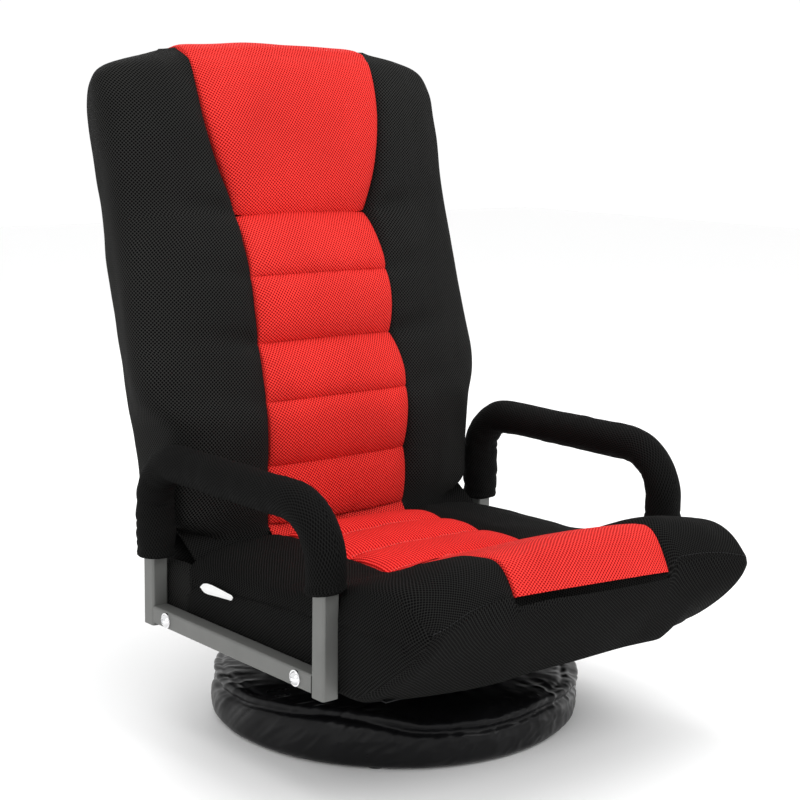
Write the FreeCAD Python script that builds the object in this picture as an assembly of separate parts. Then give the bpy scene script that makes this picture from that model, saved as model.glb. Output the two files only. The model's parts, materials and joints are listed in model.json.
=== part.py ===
"""Swivel floor chair: a seat on a turning ring base, with a ratchet back and bolted armrests.

Millimetres. The origin is on the floor at the swivel axis, +Z is up and the chair faces -Y,
so the sitter's left hand is at +X.
"""
import FreeCAD, Part

import math
import os

from FreeCAD import Vector

# Base ring, spokes and feet
RING_RADIUS = 194.5
RING_TUBE = 28.0
RING_WALL = 2.0
FOOT_HEIGHT = 8.0
FOOT_DIAMETER = 19.0
FOOT_COUNT = 4
SPOKE_COUNT = 4
SPOKE_TUBE = 20.0
SPOKE_WALL = 1.6
SPOKE_BEND = 40.0
SPOKE_SLOPE_REACH = 102.5
SPOKE_FOOT_REACH = 36.5
SPOKE_START = 28.0

# Swivel bearing
HUB_HEIGHT = 76.0
SWIVEL_PLATE = 140.0
PLATE_THICKNESS = 3.0
PLATE_CORNER = 12.0
BALL_DIAMETER = 8.0
BALL_COUNT = 24
RACE_RADIUS = 50.0
RACE_DEPTH = 1.5
BALL_CLEARANCE = 0.05
CAGE_THICKNESS = 2.0
CAGE_WIDTH = 15.0
CAGE_CLEARANCE = 0.15
RIVET_DIAMETER = 16.0
RIVET_HEAD = 25.0
RIVET_HEAD_HEIGHT = 1.8
RIVET_CLEARANCE = 0.08

# Skirt cover over the base
SKIRT_WALL = 2.4
SKIRT_EASE = 0.3
SKIRT_HEM = 3.0
SKIRT_HEM_TUCK = 1.0
SKIRT_BEND_OUT = 8.0
SKIRT_BEND_DROP = 10.0
SKIRT_TOP_INSET = 14.0
SKIRT_TOP_RISE = 3.0
SKIRT_SHOULDER_HEIGHT = 58.0
SKIRT_SHOULDER_INSET = 13.0
SKIRT_MOUTH = 62.0
ELASTIC_DIAMETER = 3.0

# Seat frame
TUBE = 20.0
TUBE_WALL = 1.5
TUBE_CORNER = 3.0
RAIL_INSET = 30.0
RAIL_Z = 126.0
RAIL_FRONT = -206.0
RAIL_REAR = 116.0
CROSS_Y = 72.0
FRONT_TUBE_DIAMETER = 20.0
FRONT_TUBE_BOW = 14.0
BRACKET_WIDTH = 120.0
BRACKET_SHEET = 2.5
BRACKET_FLANGE = 15.0
BRACKET_OPENING_EASE = 3.0
BRACKET_CLEARANCE = 1.0
WEBBING_COUNT = 4
WEBBING_WIDTH = 45.0
WEBBING_SIDE_GAP = 67.0
WEBBING_THICKNESS = 1.6

# Soft parts of the seat
COVER_WALL = 1.8
COVER_EASE = 0.3
POCKET_EASE = 0.8
SEAT_BOTTOM = 111.0
DUST_COVER_THICKNESS = 1.2
SEAT_REAR = 78.0
SEAT_HALF_WIDTH = 230.0
SEAT_EDGE_DROP = 28.0
NOSE_FLARE = 11.0
PAN_HEIGHT = 212.0
PANEL_THICKNESS = 11.0
PANEL_EASE = 0.4
PANEL_CROWN = 5.0
RECESS_RISE = 45.0
CHEEK_CORNER = 16.0
CHEEK_OVERLAP = 20.0
CHEEK_STAND_OUT = 1.0
CHEEK_DROP = 26.0
LOWER_FRONT_EDGE = -250.0
SIDE_BULGE = 4.0
TAG_LENGTH = 63.0
TAG_HEIGHT = 8.0
TAG_THICKNESS = 0.9
TAG_CENTRE_Y = 15.0
TAG_DROP = 42.0
TAG_STAND_OUT = 3.0

# Recline hinge
PIVOT_Y = 150.0
PIVOT_Z = 150.0
BACK_TILT = 13.9
TOOTH_PITCH = 15.0
FORWARD_STEPS = 1
RECLINE_STEPS = 5
HINGE_PLATE = 2.5
HINGE_RADIUS = 42.0
HINGE_STRAP = 20.0
HINGE_STRAP_RISE = 8.0
SECTOR_RADIUS = 30.0
SECTOR_THICKNESS = 6.0
NOTCH_DEPTH = 4.5
NOTCH_WIDTH = 5.0
SECTOR_ARM_WIDTH = 17.0
SECTOR_ARM_LENGTH = 82.0
HINGE_PIN = 10.0
HINGE_PIN_CLEARANCE = 0.05
PIN_HEAD_HEIGHT = 1.5
PIN_HEAD_EXTRA = 5.0
PAWL_LENGTH = 24.0
PAWL_THICKNESS = 5.0
PAWL_LIFT = 0.7
PAWL_HUB = 12.0
PAWL_PIN = 6.0
PAWL_TIP_WIDTH = 3.4
PAWL_RELIEF = 3.5
PAWL_SHOULDER = 9.0
SPRING_LEAF = 0.8
SPRING_LENGTH = 15.0
SPRING_GAP = 0.3
SPRING_FOOT = 4.0

# Back frame and back cushion
BACK_TUBE = 19.0
BACK_TUBE_N = -12.0
BACK_TUBE_START = 38.0
BACK_TUBE_DROP = 36.0
BACK_TUBE_BEND = 60.0
BACK_BAR_DIAMETER = 12.0
BACK_BAR_WALL = 1.2
BACK_BARS = (0.211, 0.537, 0.780)
BACK_STRAPS = (0.300, 0.399, 0.634, 0.707)
BACK_STRAP_WIDTH = 38.0
BACK_REAR_N = -38.0
BACK_INSET = 8.0
BACK_LOWER_INSET = 10.0
BACK_WING_FLARE = 10.0
BACK_HIP_FLARE = 16.0
BACK_REAR_ROUNDING = 0.23
BACK_CREST = 0.5
BACK_SHOULDER_IN = 0.25
BACK_SHOULDER_UP = 0.62
BACK_TOP = 615.0
ROLL_RADIUS = 60.0
ROLL_SWEEP = 45.0
ROLL_RISE = 12.0
ROLL_CLEARANCE = 2.0
HINGE_POCKET = 47.0
HINGE_POCKET_EASE = 2.0

# Armrests
ARM_STAND_OFF = 15.0
ARM_BOTTOM = 113.0
ARM_TOP = 302.6
ARM_FRONT = -188.0
ARM_REAR = 123.4
ARM_BEND = 40.0
ARM_RAIL_LIFT = 3.0
GRIP_DIAMETER = 41.0
GRIP_EASE = 0.2
SLEEVE_WALL = 1.4
SLEEVE_FRONT_END = 226.0
SLEEVE_REAR_END = 192.0
BOLT_SPACING = 239.0
BOLT_CENTRE_Y = -33.5
BOLT_DIAMETER = 8.0
BOLT_CLEARANCE = 0.2
BOLT_HEAD = 14.0
BOLT_HEAD_HEIGHT = 4.4
BOLT_SOCKET = 5.0
BOLT_SOCKET_DEPTH = 2.6
WASHER_DIAMETER = 17.0
WASHER_THICKNESS = 1.6
SPACER_DIAMETER = 16.0
NUT_FLATS = 13.0
NUT_HEIGHT = 6.5
BOLT_OVERRUN = 1.0

# Derived places
RING_Z = FOOT_HEIGHT + RING_TUBE / 2
LOWER_PLATE_TOP = HUB_HEIGHT + PLATE_THICKNESS
BALL_Z = LOWER_PLATE_TOP + BALL_DIAMETER / 2 - RACE_DEPTH
UPPER_PLATE_BOTTOM = BALL_Z + BALL_DIAMETER / 2 - RACE_DEPTH
UPPER_PLATE_TOP = UPPER_PLATE_BOTTOM + PLATE_THICKNESS
RAIL_X = SEAT_HALF_WIDTH - RAIL_INSET
ARM_X = SEAT_HALF_WIDTH + ARM_STAND_OFF
RAIL_BOTTOM = RAIL_Z - TUBE / 2
RAIL_TOP = RAIL_Z + TUBE / 2
CROSS_REACH = CROSS_Y + TUBE / 2
RAIL_INNER = RAIL_X - TUBE / 2
RAIL_OUTER = RAIL_X + TUBE / 2
ARM_INNER = ARM_X - TUBE / 2
ARM_OUTER = ARM_X + TUBE / 2
ARM_RAIL_Z = ARM_BOTTOM + ARM_RAIL_LIFT + TUBE / 2
WEBBING_PITCH = 2 * (RAIL_INNER - WEBBING_SIDE_GAP) / (WEBBING_COUNT - 1)
NOSE_HALF_WIDTH = SEAT_HALF_WIDTH + NOSE_FLARE
SEAT_EDGE = PAN_HEIGHT - SEAT_EDGE_DROP
CHEEK_INNER = RAIL_OUTER + HINGE_PLATE + PIN_HEAD_HEIGHT + POCKET_EASE
CHEEK_TOP = PAN_HEIGHT - CHEEK_DROP
TAG_CENTRE_Z = PAN_HEIGHT - TAG_DROP
HINGE_POCKET_INNER = RAIL_INNER - HINGE_PLATE - PIN_HEAD_HEIGHT - HINGE_POCKET_EASE
BACK_HALF_WIDTH = SEAT_HALF_WIDTH - BACK_INSET
BACK_LOWER_HALF_WIDTH = SEAT_HALF_WIDTH - BACK_LOWER_INSET
BACK_WING_HALF_WIDTH = SEAT_HALF_WIDTH + BACK_WING_FLARE
BACK_HIP_HALF_WIDTH = SEAT_HALF_WIDTH + BACK_HIP_FLARE
BACK_TUBE_TOP = BACK_TOP - BACK_TUBE_DROP
PAWL_CONTACT = SECTOR_RADIUS + PAWL_LIFT
PAWL_Y = PIVOT_Y - PAWL_CONTACT
PAWL_Z = PIVOT_Z + PAWL_LENGTH

X_AXIS = Vector(1, 0, 0)
Y_AXIS = Vector(0, 1, 0)
Z_AXIS = Vector(0, 0, 1)
ORIGIN = Vector(0, 0, 0)
TILT = math.radians(BACK_TILT)
SPINE = Vector(0, math.sin(TILT), math.cos(TILT))
FACING = Vector(0, -math.cos(TILT), math.sin(TILT))
PIVOT = Vector(0, PIVOT_Y, PIVOT_Z)
SIDES = (("left", 1), ("right", -1))
FAR = 600.0

nodes = {}


def box(x0, x1, y0, y1, z0, z1):
    return Part.makeBox(x1 - x0, y1 - y0, z1 - z0, Vector(x0, y0, z0))


def cylinder(diameter, start, end):
    along = end - start
    return Part.makeCylinder(diameter / 2, along.Length, start, along)


def pair(shape):
    """A piece and its mirror image across the chair's middle plane."""
    return Part.makeCompound([shape, mirrored(shape)])


def mirrored(shape):
    return shape.mirror(ORIGIN, X_AXIS)


def on_side(shape, side):
    return shape if side > 0 else mirrored(shape)


def joined(shapes):
    whole = shapes[0].fuse(list(shapes[1:])) if len(shapes) > 1 else shapes[0]
    return whole.removeSplitter()


def closed(edges):
    return Part.Wire(Part.__sortEdges__(edges))


def polygon(points):
    return Part.makePolygon(list(points) + [points[0]])


def prism(points, along):
    return Part.Face(polygon(points)).extrude(along)


def bent_path(points, radius):
    """A wire of straight runs through the points, with one tangent arc at each inner point."""
    edges = []
    last = points[0]
    for before, here, after in zip(points, points[1:], points[2:]):
        back = (before - here).normalize()
        on = (after - here).normalize()
        half = back.getAngle(on) / 2
        reach = radius / math.tan(half)
        middle = (back + on).normalize() * (radius / math.sin(half) - radius)
        start = here + back * reach
        end = here + on * reach
        edges.append(Part.LineSegment(last, start).toShape())
        edges.append(Part.Arc(start, here + middle, end).toShape())
        last = end
    edges.append(Part.LineSegment(last, points[-1]).toShape())
    return Part.Wire(edges)


def swept(profile, path):
    return path.makePipeShell([profile], True, False)


def round_tube(path, outer, inner=0.0):
    """A round tube along a path, hollow where an inner diameter is given."""
    start = path.Edges[0].valueAt(path.Edges[0].FirstParameter)
    along = path.Edges[0].tangentAt(path.Edges[0].FirstParameter)
    whole = swept(Part.Wire(Part.makeCircle(outer / 2, start, along)), path)
    if inner:
        whole = whole.cut(swept(Part.Wire(Part.makeCircle(inner / 2, start, along)), path))
    return whole


def rounded_square(size, corner, centre, u, v):
    """A square outline with arc corners, in the plane of u and v."""
    half = size / 2
    flat = half - corner
    edges = []
    for a, b in ((u, v), (v, -u), (-u, -v), (-v, u)):
        side_start = centre + a * half - b * flat
        side_end = centre + a * half + b * flat
        bulge = centre + a * flat + b * flat + (a + b).normalize() * corner
        corner_end = centre + a * flat + b * half
        edges.append(Part.LineSegment(side_start, side_end).toShape())
        edges.append(Part.Arc(side_end, bulge, corner_end).toShape())
    return Part.Wire(edges)


def square_tube(start, end, u, v):
    """A straight square tube with rounded corners and a bore."""
    along = end - start
    outer = Part.Face(rounded_square(TUBE, TUBE_CORNER, start, u, v)).extrude(along)
    bore_corner = TUBE_CORNER - TUBE_WALL
    bore = Part.Face(rounded_square(TUBE - 2 * TUBE_WALL, bore_corner, start, u, v)).extrude(along)
    return outer.cut(bore)


def back_point(x, out, along):
    """A point in the back's own directions: out from the backrest and along its spine."""
    return PIVOT + Vector(x, 0, 0) + FACING * out + SPINE * along


def seat_point(x, height, y):
    return Vector(x, y, height)


def pillow_section(place, station, half_width, low, edge, crown):
    """One closed outline of a cushion: flat underneath, bulging sides and a crowned top."""
    corner = [place(side * half_width, level, station) for side in (-1, 1) for level in (low, edge)]
    middle = (low + edge) / 2
    right = place(half_width + SIDE_BULGE, middle, station)
    left = place(-half_width - SIDE_BULGE, middle, station)
    top = place(0, crown, station)
    return Part.Wire([
        Part.LineSegment(corner[0], corner[2]).toShape(),
        Part.Arc(corner[2], right, corner[3]).toShape(),
        Part.Arc(corner[3], top, corner[1]).toShape(),
        Part.Arc(corner[1], left, corner[0]).toShape(),
    ])


def drawn_in(stations, inset, first_end, last_end):
    """Where each station lies once the ends are drawn in by the inset.

    An end that meets another loft stays where it is.
    """
    places = [row[0] for row in stations]
    toward = 1 if places[-1] > places[0] else -1
    if first_end:
        places[0] += toward * inset
    if last_end:
        places[-1] -= toward * inset
    return places


def pillow(place, stations, inset, first_end, last_end):
    """A cushion body lofted through its outlines, drawn in by the inset on every face."""
    wires = []
    places = drawn_in(stations, inset, first_end, last_end)
    for at, (_, half_width, low, edge, crown) in zip(places, stations):
        wires.append(pillow_section(
            place, at, half_width - inset, low + inset, edge - inset, crown - inset))
    return Part.makeLoft(wires, True, False)


def winged_section(station, rear_half, front_half, rear, edge, wing):
    """One closed outline of the back: rounded rear corners, leaning sides and a full wing on each side."""
    corner = BACK_REAR_ROUNDING * (edge - rear)
    bend = corner * (1 - math.sqrt(0.5))
    crest = BACK_CREST * front_half
    shoulder = front_half - BACK_SHOULDER_IN * (front_half - crest)
    swell = edge + BACK_SHOULDER_UP * (wing - edge)
    edges = [Part.LineSegment(back_point(corner - rear_half, rear, station),
                              back_point(rear_half - corner, rear, station)).toShape()]
    for side in (1, -1):
        base = back_point(side * (rear_half - corner), rear, station)
        round_it = back_point(side * (rear_half - bend), rear + bend, station)
        up = back_point(side * rear_half, rear + corner, station)
        front = back_point(side * front_half, edge, station)
        full = back_point(side * shoulder, swell, station)
        high = back_point(side * crest, wing, station)
        half = [Part.Arc(base, round_it, up).toShape(), Part.LineSegment(up, front).toShape(),
                Part.Arc(front, full, high).toShape()]
        if side > 0:
            edges += half + [Part.LineSegment(high, back_point(-crest, wing, station)).toShape()]
        else:
            edges += half[::-1]
    return Part.Wire(edges)


def panel_section(place, station, half_width, bottom, edge, crown):
    """One outline of a padded panel: flat underneath, upright sides and a crowned top."""
    low_left = place(-half_width, bottom, station)
    low_right = place(half_width, bottom, station)
    high_right = place(half_width, edge, station)
    high_left = place(-half_width, edge, station)
    return Part.Wire([
        Part.LineSegment(low_left, low_right).toShape(),
        Part.LineSegment(low_right, high_right).toShape(),
        Part.Arc(high_right, place(0, crown, station), high_left).toShape(),
        Part.LineSegment(high_left, low_left).toShape(),
    ])


def channelled(place, folds, crests, depth, crown, grow=0.0, rise=0.0):
    """Padded channels sewn down at the folds: each is its own loft from fold to fold.

    grow widens and deepens the form, and rise lifts its top, for the recess it sits in.
    """
    lofts = []
    for (a, b, crest) in zip(folds, folds[1:], crests):
        wires = []
        for station, half_width, height in (a, crest, b):
            fold_line = interpolated(a, b, station)
            wires.append(panel_section(
                place, station, half_width + grow, fold_line - depth - grow,
                height - crown + rise, height + rise))
        lofts.append(Part.makeLoft(wires, True, False))
    return joined(lofts)


def interpolated(a, b, station):
    share = (station - a[0]) / (b[0] - a[0])
    return a[2] + share * (b[2] - a[2])


def ring_positions(count, radius, start=0.0):
    for index in range(count):
        angle = start + 2 * math.pi * index / count
        yield angle, Vector(radius * math.cos(angle), radius * math.sin(angle), 0)


def base_ring():
    centre = Vector(0, 0, RING_Z)
    tube = Part.makeTorus(RING_RADIUS, RING_TUBE / 2, centre, Z_AXIS)
    bore = Part.makeTorus(RING_RADIUS, RING_TUBE / 2 - RING_WALL, centre, Z_AXIS)
    nodes["base_ring"] = tube.cut(bore)


def base_feet():
    feet = []
    start = math.pi / FOOT_COUNT
    tube = Part.makeTorus(RING_RADIUS, RING_TUBE / 2, Vector(0, 0, RING_Z), Z_AXIS)
    seat_height = FOOT_HEIGHT + RING_TUBE / 8
    for _, place in ring_positions(FOOT_COUNT, RING_RADIUS, start):
        block = cylinder(FOOT_DIAMETER, place, place + Z_AXIS * seat_height)
        feet.append(block.cut(tube))
    nodes["base_feet"] = Part.makeCompound(feet)


def base_spokes():
    """Bent tubes from the ring up to the hub plate, mitred onto the ring."""
    ring = Part.makeTorus(RING_RADIUS, RING_TUBE / 2, Vector(0, 0, RING_Z), Z_AXIS)
    top = HUB_HEIGHT - SPOKE_TUBE / 2
    points = [Vector(SPOKE_START, 0, top), Vector(RING_RADIUS - SPOKE_SLOPE_REACH, 0, top),
              Vector(RING_RADIUS - SPOKE_FOOT_REACH, 0, RING_Z),
              Vector(RING_RADIUS - RING_TUBE / 4, 0, RING_Z)]
    path = bent_path(points, SPOKE_BEND)
    spoke = round_tube(path, SPOKE_TUBE, SPOKE_TUBE - 2 * SPOKE_WALL).cut(ring)
    spokes = []
    for index in range(SPOKE_COUNT):
        turned = spoke.copy()
        turned.rotate(ORIGIN, Z_AXIS, 360 / SPOKE_COUNT * index)
        spokes.append(turned)
    nodes["base_spokes"] = Part.makeCompound(spokes)


def swivel_plate(bottom, rivet_bore):
    half = SWIVEL_PLATE / 2
    plate = box(-half, half, -half, half, bottom, bottom + PLATE_THICKNESS)
    corners = [edge for edge in plate.Edges if edge.tangentAt(edge.FirstParameter).isEqual(Z_AXIS, 1e-6)
               or edge.tangentAt(edge.FirstParameter).isEqual(-Z_AXIS, 1e-6)]
    plate = plate.makeFillet(PLATE_CORNER, corners)
    race = Part.makeTorus(RACE_RADIUS, BALL_DIAMETER / 2 + BALL_CLEARANCE, Vector(0, 0, BALL_Z), Z_AXIS)
    bore = cylinder(rivet_bore, Vector(0, 0, bottom - 1), Vector(0, 0, bottom + PLATE_THICKNESS + 1))
    return plate.cut(race).cut(bore)


def swivel_bearing():
    nodes["lower_swivel_plate"] = swivel_plate(HUB_HEIGHT, RIVET_DIAMETER)
    nodes["upper_swivel_plate"] = swivel_plate(UPPER_PLATE_BOTTOM, RIVET_DIAMETER + 2 * RIVET_CLEARANCE)
    balls = []
    inner = RACE_RADIUS - CAGE_WIDTH / 2
    outer = RACE_RADIUS + CAGE_WIDTH / 2
    low = Vector(0, 0, BALL_Z - CAGE_THICKNESS / 2)
    high = low + Z_AXIS * CAGE_THICKNESS
    cage = cylinder(2 * outer, low, high).cut(cylinder(2 * inner, low, high))
    for _, place in ring_positions(BALL_COUNT, RACE_RADIUS):
        balls.append(Part.makeSphere(BALL_DIAMETER / 2, place + Z_AXIS * BALL_Z))
        cage = cage.cut(cylinder(BALL_DIAMETER + 2 * CAGE_CLEARANCE, place + low, place + high))
    nodes["bearing_balls"] = Part.makeCompound(balls)
    nodes["ball_cage"] = cage
    foot = Z_AXIS * HUB_HEIGHT
    top = Z_AXIS * (UPPER_PLATE_TOP + RIVET_CLEARANCE)
    head = Z_AXIS * RIVET_HEAD_HEIGHT
    shank = cylinder(RIVET_DIAMETER, foot, top)
    low_head = cylinder(RIVET_HEAD, foot - head, foot)
    high_head = cylinder(RIVET_HEAD, top, top + head)
    nodes["centre_rivet"] = joined([shank, low_head, high_head])


def skirt_outline(inset):
    """Half of the skirt's section, from the hem up over the shoulder to the mouth on the plate."""
    widest = RING_RADIUS + RING_TUBE / 2 + SKIRT_EASE + SKIRT_WALL - inset
    shoulder = widest - SKIRT_SHOULDER_INSET
    mouth_z = LOWER_PLATE_TOP + SKIRT_EASE + SKIRT_WALL - inset
    hem = Vector(widest - SKIRT_HEM_TUCK, 0, SKIRT_HEM)
    side = Vector(widest, 0, RING_Z)
    bend = Vector(shoulder + SKIRT_BEND_OUT, 0, SKIRT_SHOULDER_HEIGHT - SKIRT_BEND_DROP - inset)
    top = Vector(shoulder - SKIRT_TOP_INSET, 0, SKIRT_SHOULDER_HEIGHT + SKIRT_TOP_RISE - inset)
    inner_top = Vector(SWIVEL_PLATE / 2 * math.sqrt(2), 0, mouth_z)
    mouth = Vector(SKIRT_MOUTH, 0, mouth_z)
    return hem, side, bend, top, inner_top, mouth


def base_skirt():
    outer = skirt_outline(0)
    inner = skirt_outline(SKIRT_WALL)
    edges = []
    for points in (outer, inner):
        hem, side, bend, top, inner_top, mouth = points
        edges.append(Part.LineSegment(hem, side).toShape())
        edges.append(Part.Arc(side, bend, top).toShape())
        edges.append(Part.LineSegment(top, inner_top).toShape())
        edges.append(Part.LineSegment(inner_top, mouth).toShape())
    edges.append(Part.LineSegment(outer[0], inner[0]).toShape())
    edges.append(Part.LineSegment(outer[-1], inner[-1]).toShape())
    face = Part.Face(closed(edges))
    nodes["base_skirt"] = face.revolve(ORIGIN, Z_AXIS, 360)
    radius = inner[1].x - SKIRT_EASE - SKIRT_HEM_TUCK - ELASTIC_DIAMETER / 2
    height = SKIRT_HEM + ELASTIC_DIAMETER
    nodes["hem_elastic"] = Part.makeTorus(radius, ELASTIC_DIAMETER / 2, Vector(0, 0, height), Z_AXIS)


def seat_frame():
    front = Vector(RAIL_X, RAIL_FRONT, RAIL_Z)
    rear = Vector(RAIL_X, RAIL_REAR, RAIL_Z)
    rail = square_tube(front, rear, X_AXIS, Z_AXIS)
    bore = BOLT_DIAMETER + 2 * BOLT_CLEARANCE
    for y in bolt_places():
        rail = rail.cut(cylinder(bore, Vector(RAIL_X, y, RAIL_Z), Vector(RAIL_OUTER + 1, y, RAIL_Z)))
    nodes["seat_side_rails"] = pair(rail)
    bars = []
    for y in (-CROSS_Y, CROSS_Y):
        ends = Vector(-RAIL_INNER, y, RAIL_Z), Vector(RAIL_INNER, y, RAIL_Z)
        bars.append(square_tube(*ends, Y_AXIS, Z_AXIS))
    nodes["seat_cross_members"] = Part.makeCompound(bars)
    nodes["seat_front_tube"] = front_tube()


def bolt_places():
    return BOLT_CENTRE_Y - BOLT_SPACING / 2, BOLT_CENTRE_Y + BOLT_SPACING / 2


def front_tube():
    """The bowed round tube across the front, welded to the rails' ends."""
    y = RAIL_FRONT - FRONT_TUBE_DIAMETER / 2
    reach = RAIL_OUTER - TUBE_CORNER
    ends = [Vector(-reach, y, RAIL_Z), Vector(reach, y, RAIL_Z)]
    arc = Part.Arc(ends[0], Vector(0, y - FRONT_TUBE_BOW, RAIL_Z), ends[1]).toShape()
    return round_tube(Part.Wire([arc]), FRONT_TUBE_DIAMETER, FRONT_TUBE_DIAMETER - 2 * TUBE_WALL)


def seat_bracket():
    """A hat-shaped steel pan between the upper swivel plate and the cross members."""
    half = BRACKET_WIDTH / 2
    low = UPPER_PLATE_TOP
    high = RAIL_BOTTOM
    sheet = BRACKET_SHEET
    outline = [(-half, low), (half, low), (half, high - sheet), (half + BRACKET_FLANGE, high - sheet),
               (half + BRACKET_FLANGE, high), (half - sheet, high), (half - sheet, low + sheet),
               (sheet - half, low + sheet), (sheet - half, high), (-half - BRACKET_FLANGE, high),
               (-half - BRACKET_FLANGE, high - sheet), (-half, high - sheet)]
    pan = prism([Vector(x, -CROSS_REACH, z) for x, z in outline], Y_AXIS * 2 * CROSS_REACH)
    opening = RIVET_HEAD + 2 * BRACKET_OPENING_EASE
    nodes["seat_bracket"] = pan.cut(cylinder(opening, Vector(0, 0, low - 1), Vector(0, 0, low + sheet + 1)))


def seat_webbing():
    straps = []
    first = -WEBBING_PITCH * (WEBBING_COUNT - 1) / 2
    front = RAIL_FRONT - FRONT_TUBE_DIAMETER / 2 - FRONT_TUBE_BOW / 2
    for index in range(WEBBING_COUNT):
        x = first + WEBBING_PITCH * index
        low = RAIL_TOP + FRONT_TUBE_DIAMETER / 2 - TUBE / 2
        straps.append(box(x - WEBBING_WIDTH / 2, x + WEBBING_WIDTH / 2, front, CROSS_REACH,
                          low, low + WEBBING_THICKNESS))
    nodes["seat_webbing"] = Part.makeCompound(straps)


def seat_stations():
    """y, half width, underside, height at the side edge and height at the middle."""
    low = SEAT_BOTTOM
    side = SEAT_HALF_WIDTH
    nose = NOSE_HALF_WIDTH
    edge = SEAT_EDGE
    pan = PAN_HEIGHT
    return [
        (SEAT_REAR, side, low, edge, pan + 1),
        (10.0, side, low, edge + 1, pan),
        (-70.0, side, low, edge + 3, pan + 1),
        (-135.0, side, low, edge + 10, pan + 5),
        (-182.0, side, low, edge + 25, pan + 18),
        (-216.0, side + 4, low, edge + 38, pan + 32),
        (LOWER_FRONT_EDGE, nose, low, edge + 48, pan + 41),
    ]


def nose_stations():
    """The roll's front face, which leans out from the lower front edge to the nose."""
    low = SEAT_BOTTOM
    depth = PAN_HEIGHT - SEAT_BOTTOM
    nose = NOSE_HALF_WIDTH
    edge = SEAT_EDGE
    pan = PAN_HEIGHT
    return [
        (LOWER_FRONT_EDGE, nose, low, edge + 48, pan + 41),
        (-270.0, nose + 1, low + 0.22 * depth, edge + 51, pan + 45),
        (-290.0, nose + 1, low + 0.43 * depth, edge + 46, pan + 43),
        (-308.0, nose, low + 0.61 * depth, edge + 34, pan + 33),
        (-322.0, nose - 5, low + 0.77 * depth, edge + 19, pan + 14),
    ]


def seat_body(inset):
    body = pillow(seat_point, seat_stations(), inset, True, False)
    nose = pillow(seat_point, nose_stations(), inset, False, True)
    return body.fuse(nose)


def pan_channels():
    """Fold lines and crests of the pan panel: y, half width and height."""
    level = PAN_HEIGHT
    folds = [(SEAT_REAR - 2, 101.0, level - 3), (18.0, 98.0, level - 2), (-48.0, 98.0, level - 2),
             (-108.0, 101.0, level), (-152.0, 111.0, level + 6)]
    crests = [(50.0, 102.0, level + 8), (-15.0, 101.0, level + 8), (-78.0, 102.0, level + 9),
              (-131.0, 107.0, level + 10)]
    return folds, crests


def roll_channels():
    level = PAN_HEIGHT
    folds = [(-152.6, 111.0, level + 6), (-300.0, 111.0, level + 37)]
    crests = [(-230.0, 107.0, level + 47)]
    return folds, crests


def up_back(table):
    """Rows of a back table with the first column, a share of the back's length, made a distance."""
    return [(row[0] * BACK_TOP,) + tuple(row[1:]) for row in table]


def back_stations():
    """Share of the length, half width at the rear and at the front, rear, front edge and wing."""
    low = BACK_LOWER_HALF_WIDTH
    rear = BACK_REAR_N
    wide = BACK_HALF_WIDTH
    wing = BACK_WING_HALF_WIDTH
    hip = BACK_HIP_HALF_WIDTH
    return up_back([
        (0.003, low - 6, low - 6, rear + 3, 42.0, ROLL_RADIUS),
        (0.075, low - 1, low - 2, rear, 46.0, 66.0),
        (0.130, low, low - 1, rear, 52.0, 73.0),
        (0.179, low, low - 2, rear, 60.0, 83.0),
        (0.244, low - 1, low - 3, rear, 72.0, 94.0),
        (0.280, low, low, rear, 77.0, 96.0),
        (0.325, wide, hip - 5, rear, 67.0, 95.0),
        (0.366, wide, hip + 1, rear, 64.0, 95.0),
        (0.447, wide, hip - 2, rear, 63.0, 94.0),
        (0.576, wide, wing + 1, rear, 62.0, 93.0),
        (0.715, wide, wing - 3, rear, 61.0, 86.0),
        (0.813, wide, wing, rear + 1, 61.0, 87.0),
        (0.894, wide - 1, wing - 2, rear + 4, 59.0, 83.0),
        (0.946, wide - 6, wing - 10, rear + 9, 52.0, 74.0),
        (0.972, wide - 17, wing - 26, rear + 17, 43.0, 64.0),
        (0.987, wide - 34, wing - 48, rear + 26, 34.0, 54.0),
        (1.0, wide - 82, wing - 99, rear + 42, 22.0, 36.0),
    ])


def lumbar_channels():
    """Fold lines and crests of the channelled panel, from the crease up to the headrest."""
    folds = [(0.0748, 101.0, 60.0), (0.1821, 102.0, 71.0), (0.3008, 104.0, 90.0), (0.4130, 98.0, 80.0),
             (0.5382, 100.0, 88.0), (0.6602, 97.0, 64.0)]
    crests = [(0.1301, 103.0, 73.0), (0.2439, 104.0, 92.0), (0.3545, 102.0, 96.0), (0.4748, 100.0, 96.0),
              (0.6016, 99.0, 88.0)]
    return up_back(folds), up_back(crests)


def headrest_channels():
    folds = [(0.6615, 97.0, 64.0), (0.9626, 121.0, 66.0), (1.004, 120.0, 36.0)]
    crests = [(0.8130, 106.0, 81.0), (0.9854, 121.0, 57.0)]
    return up_back(folds), up_back(crests)


def carved(shape, tools):
    """The largest solid left of a shape after each tool has been cut away."""
    for tool in tools:
        shape = shape.cut(tool)
    return max(shape.Solids, key=lambda solid: solid.Volume)


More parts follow.
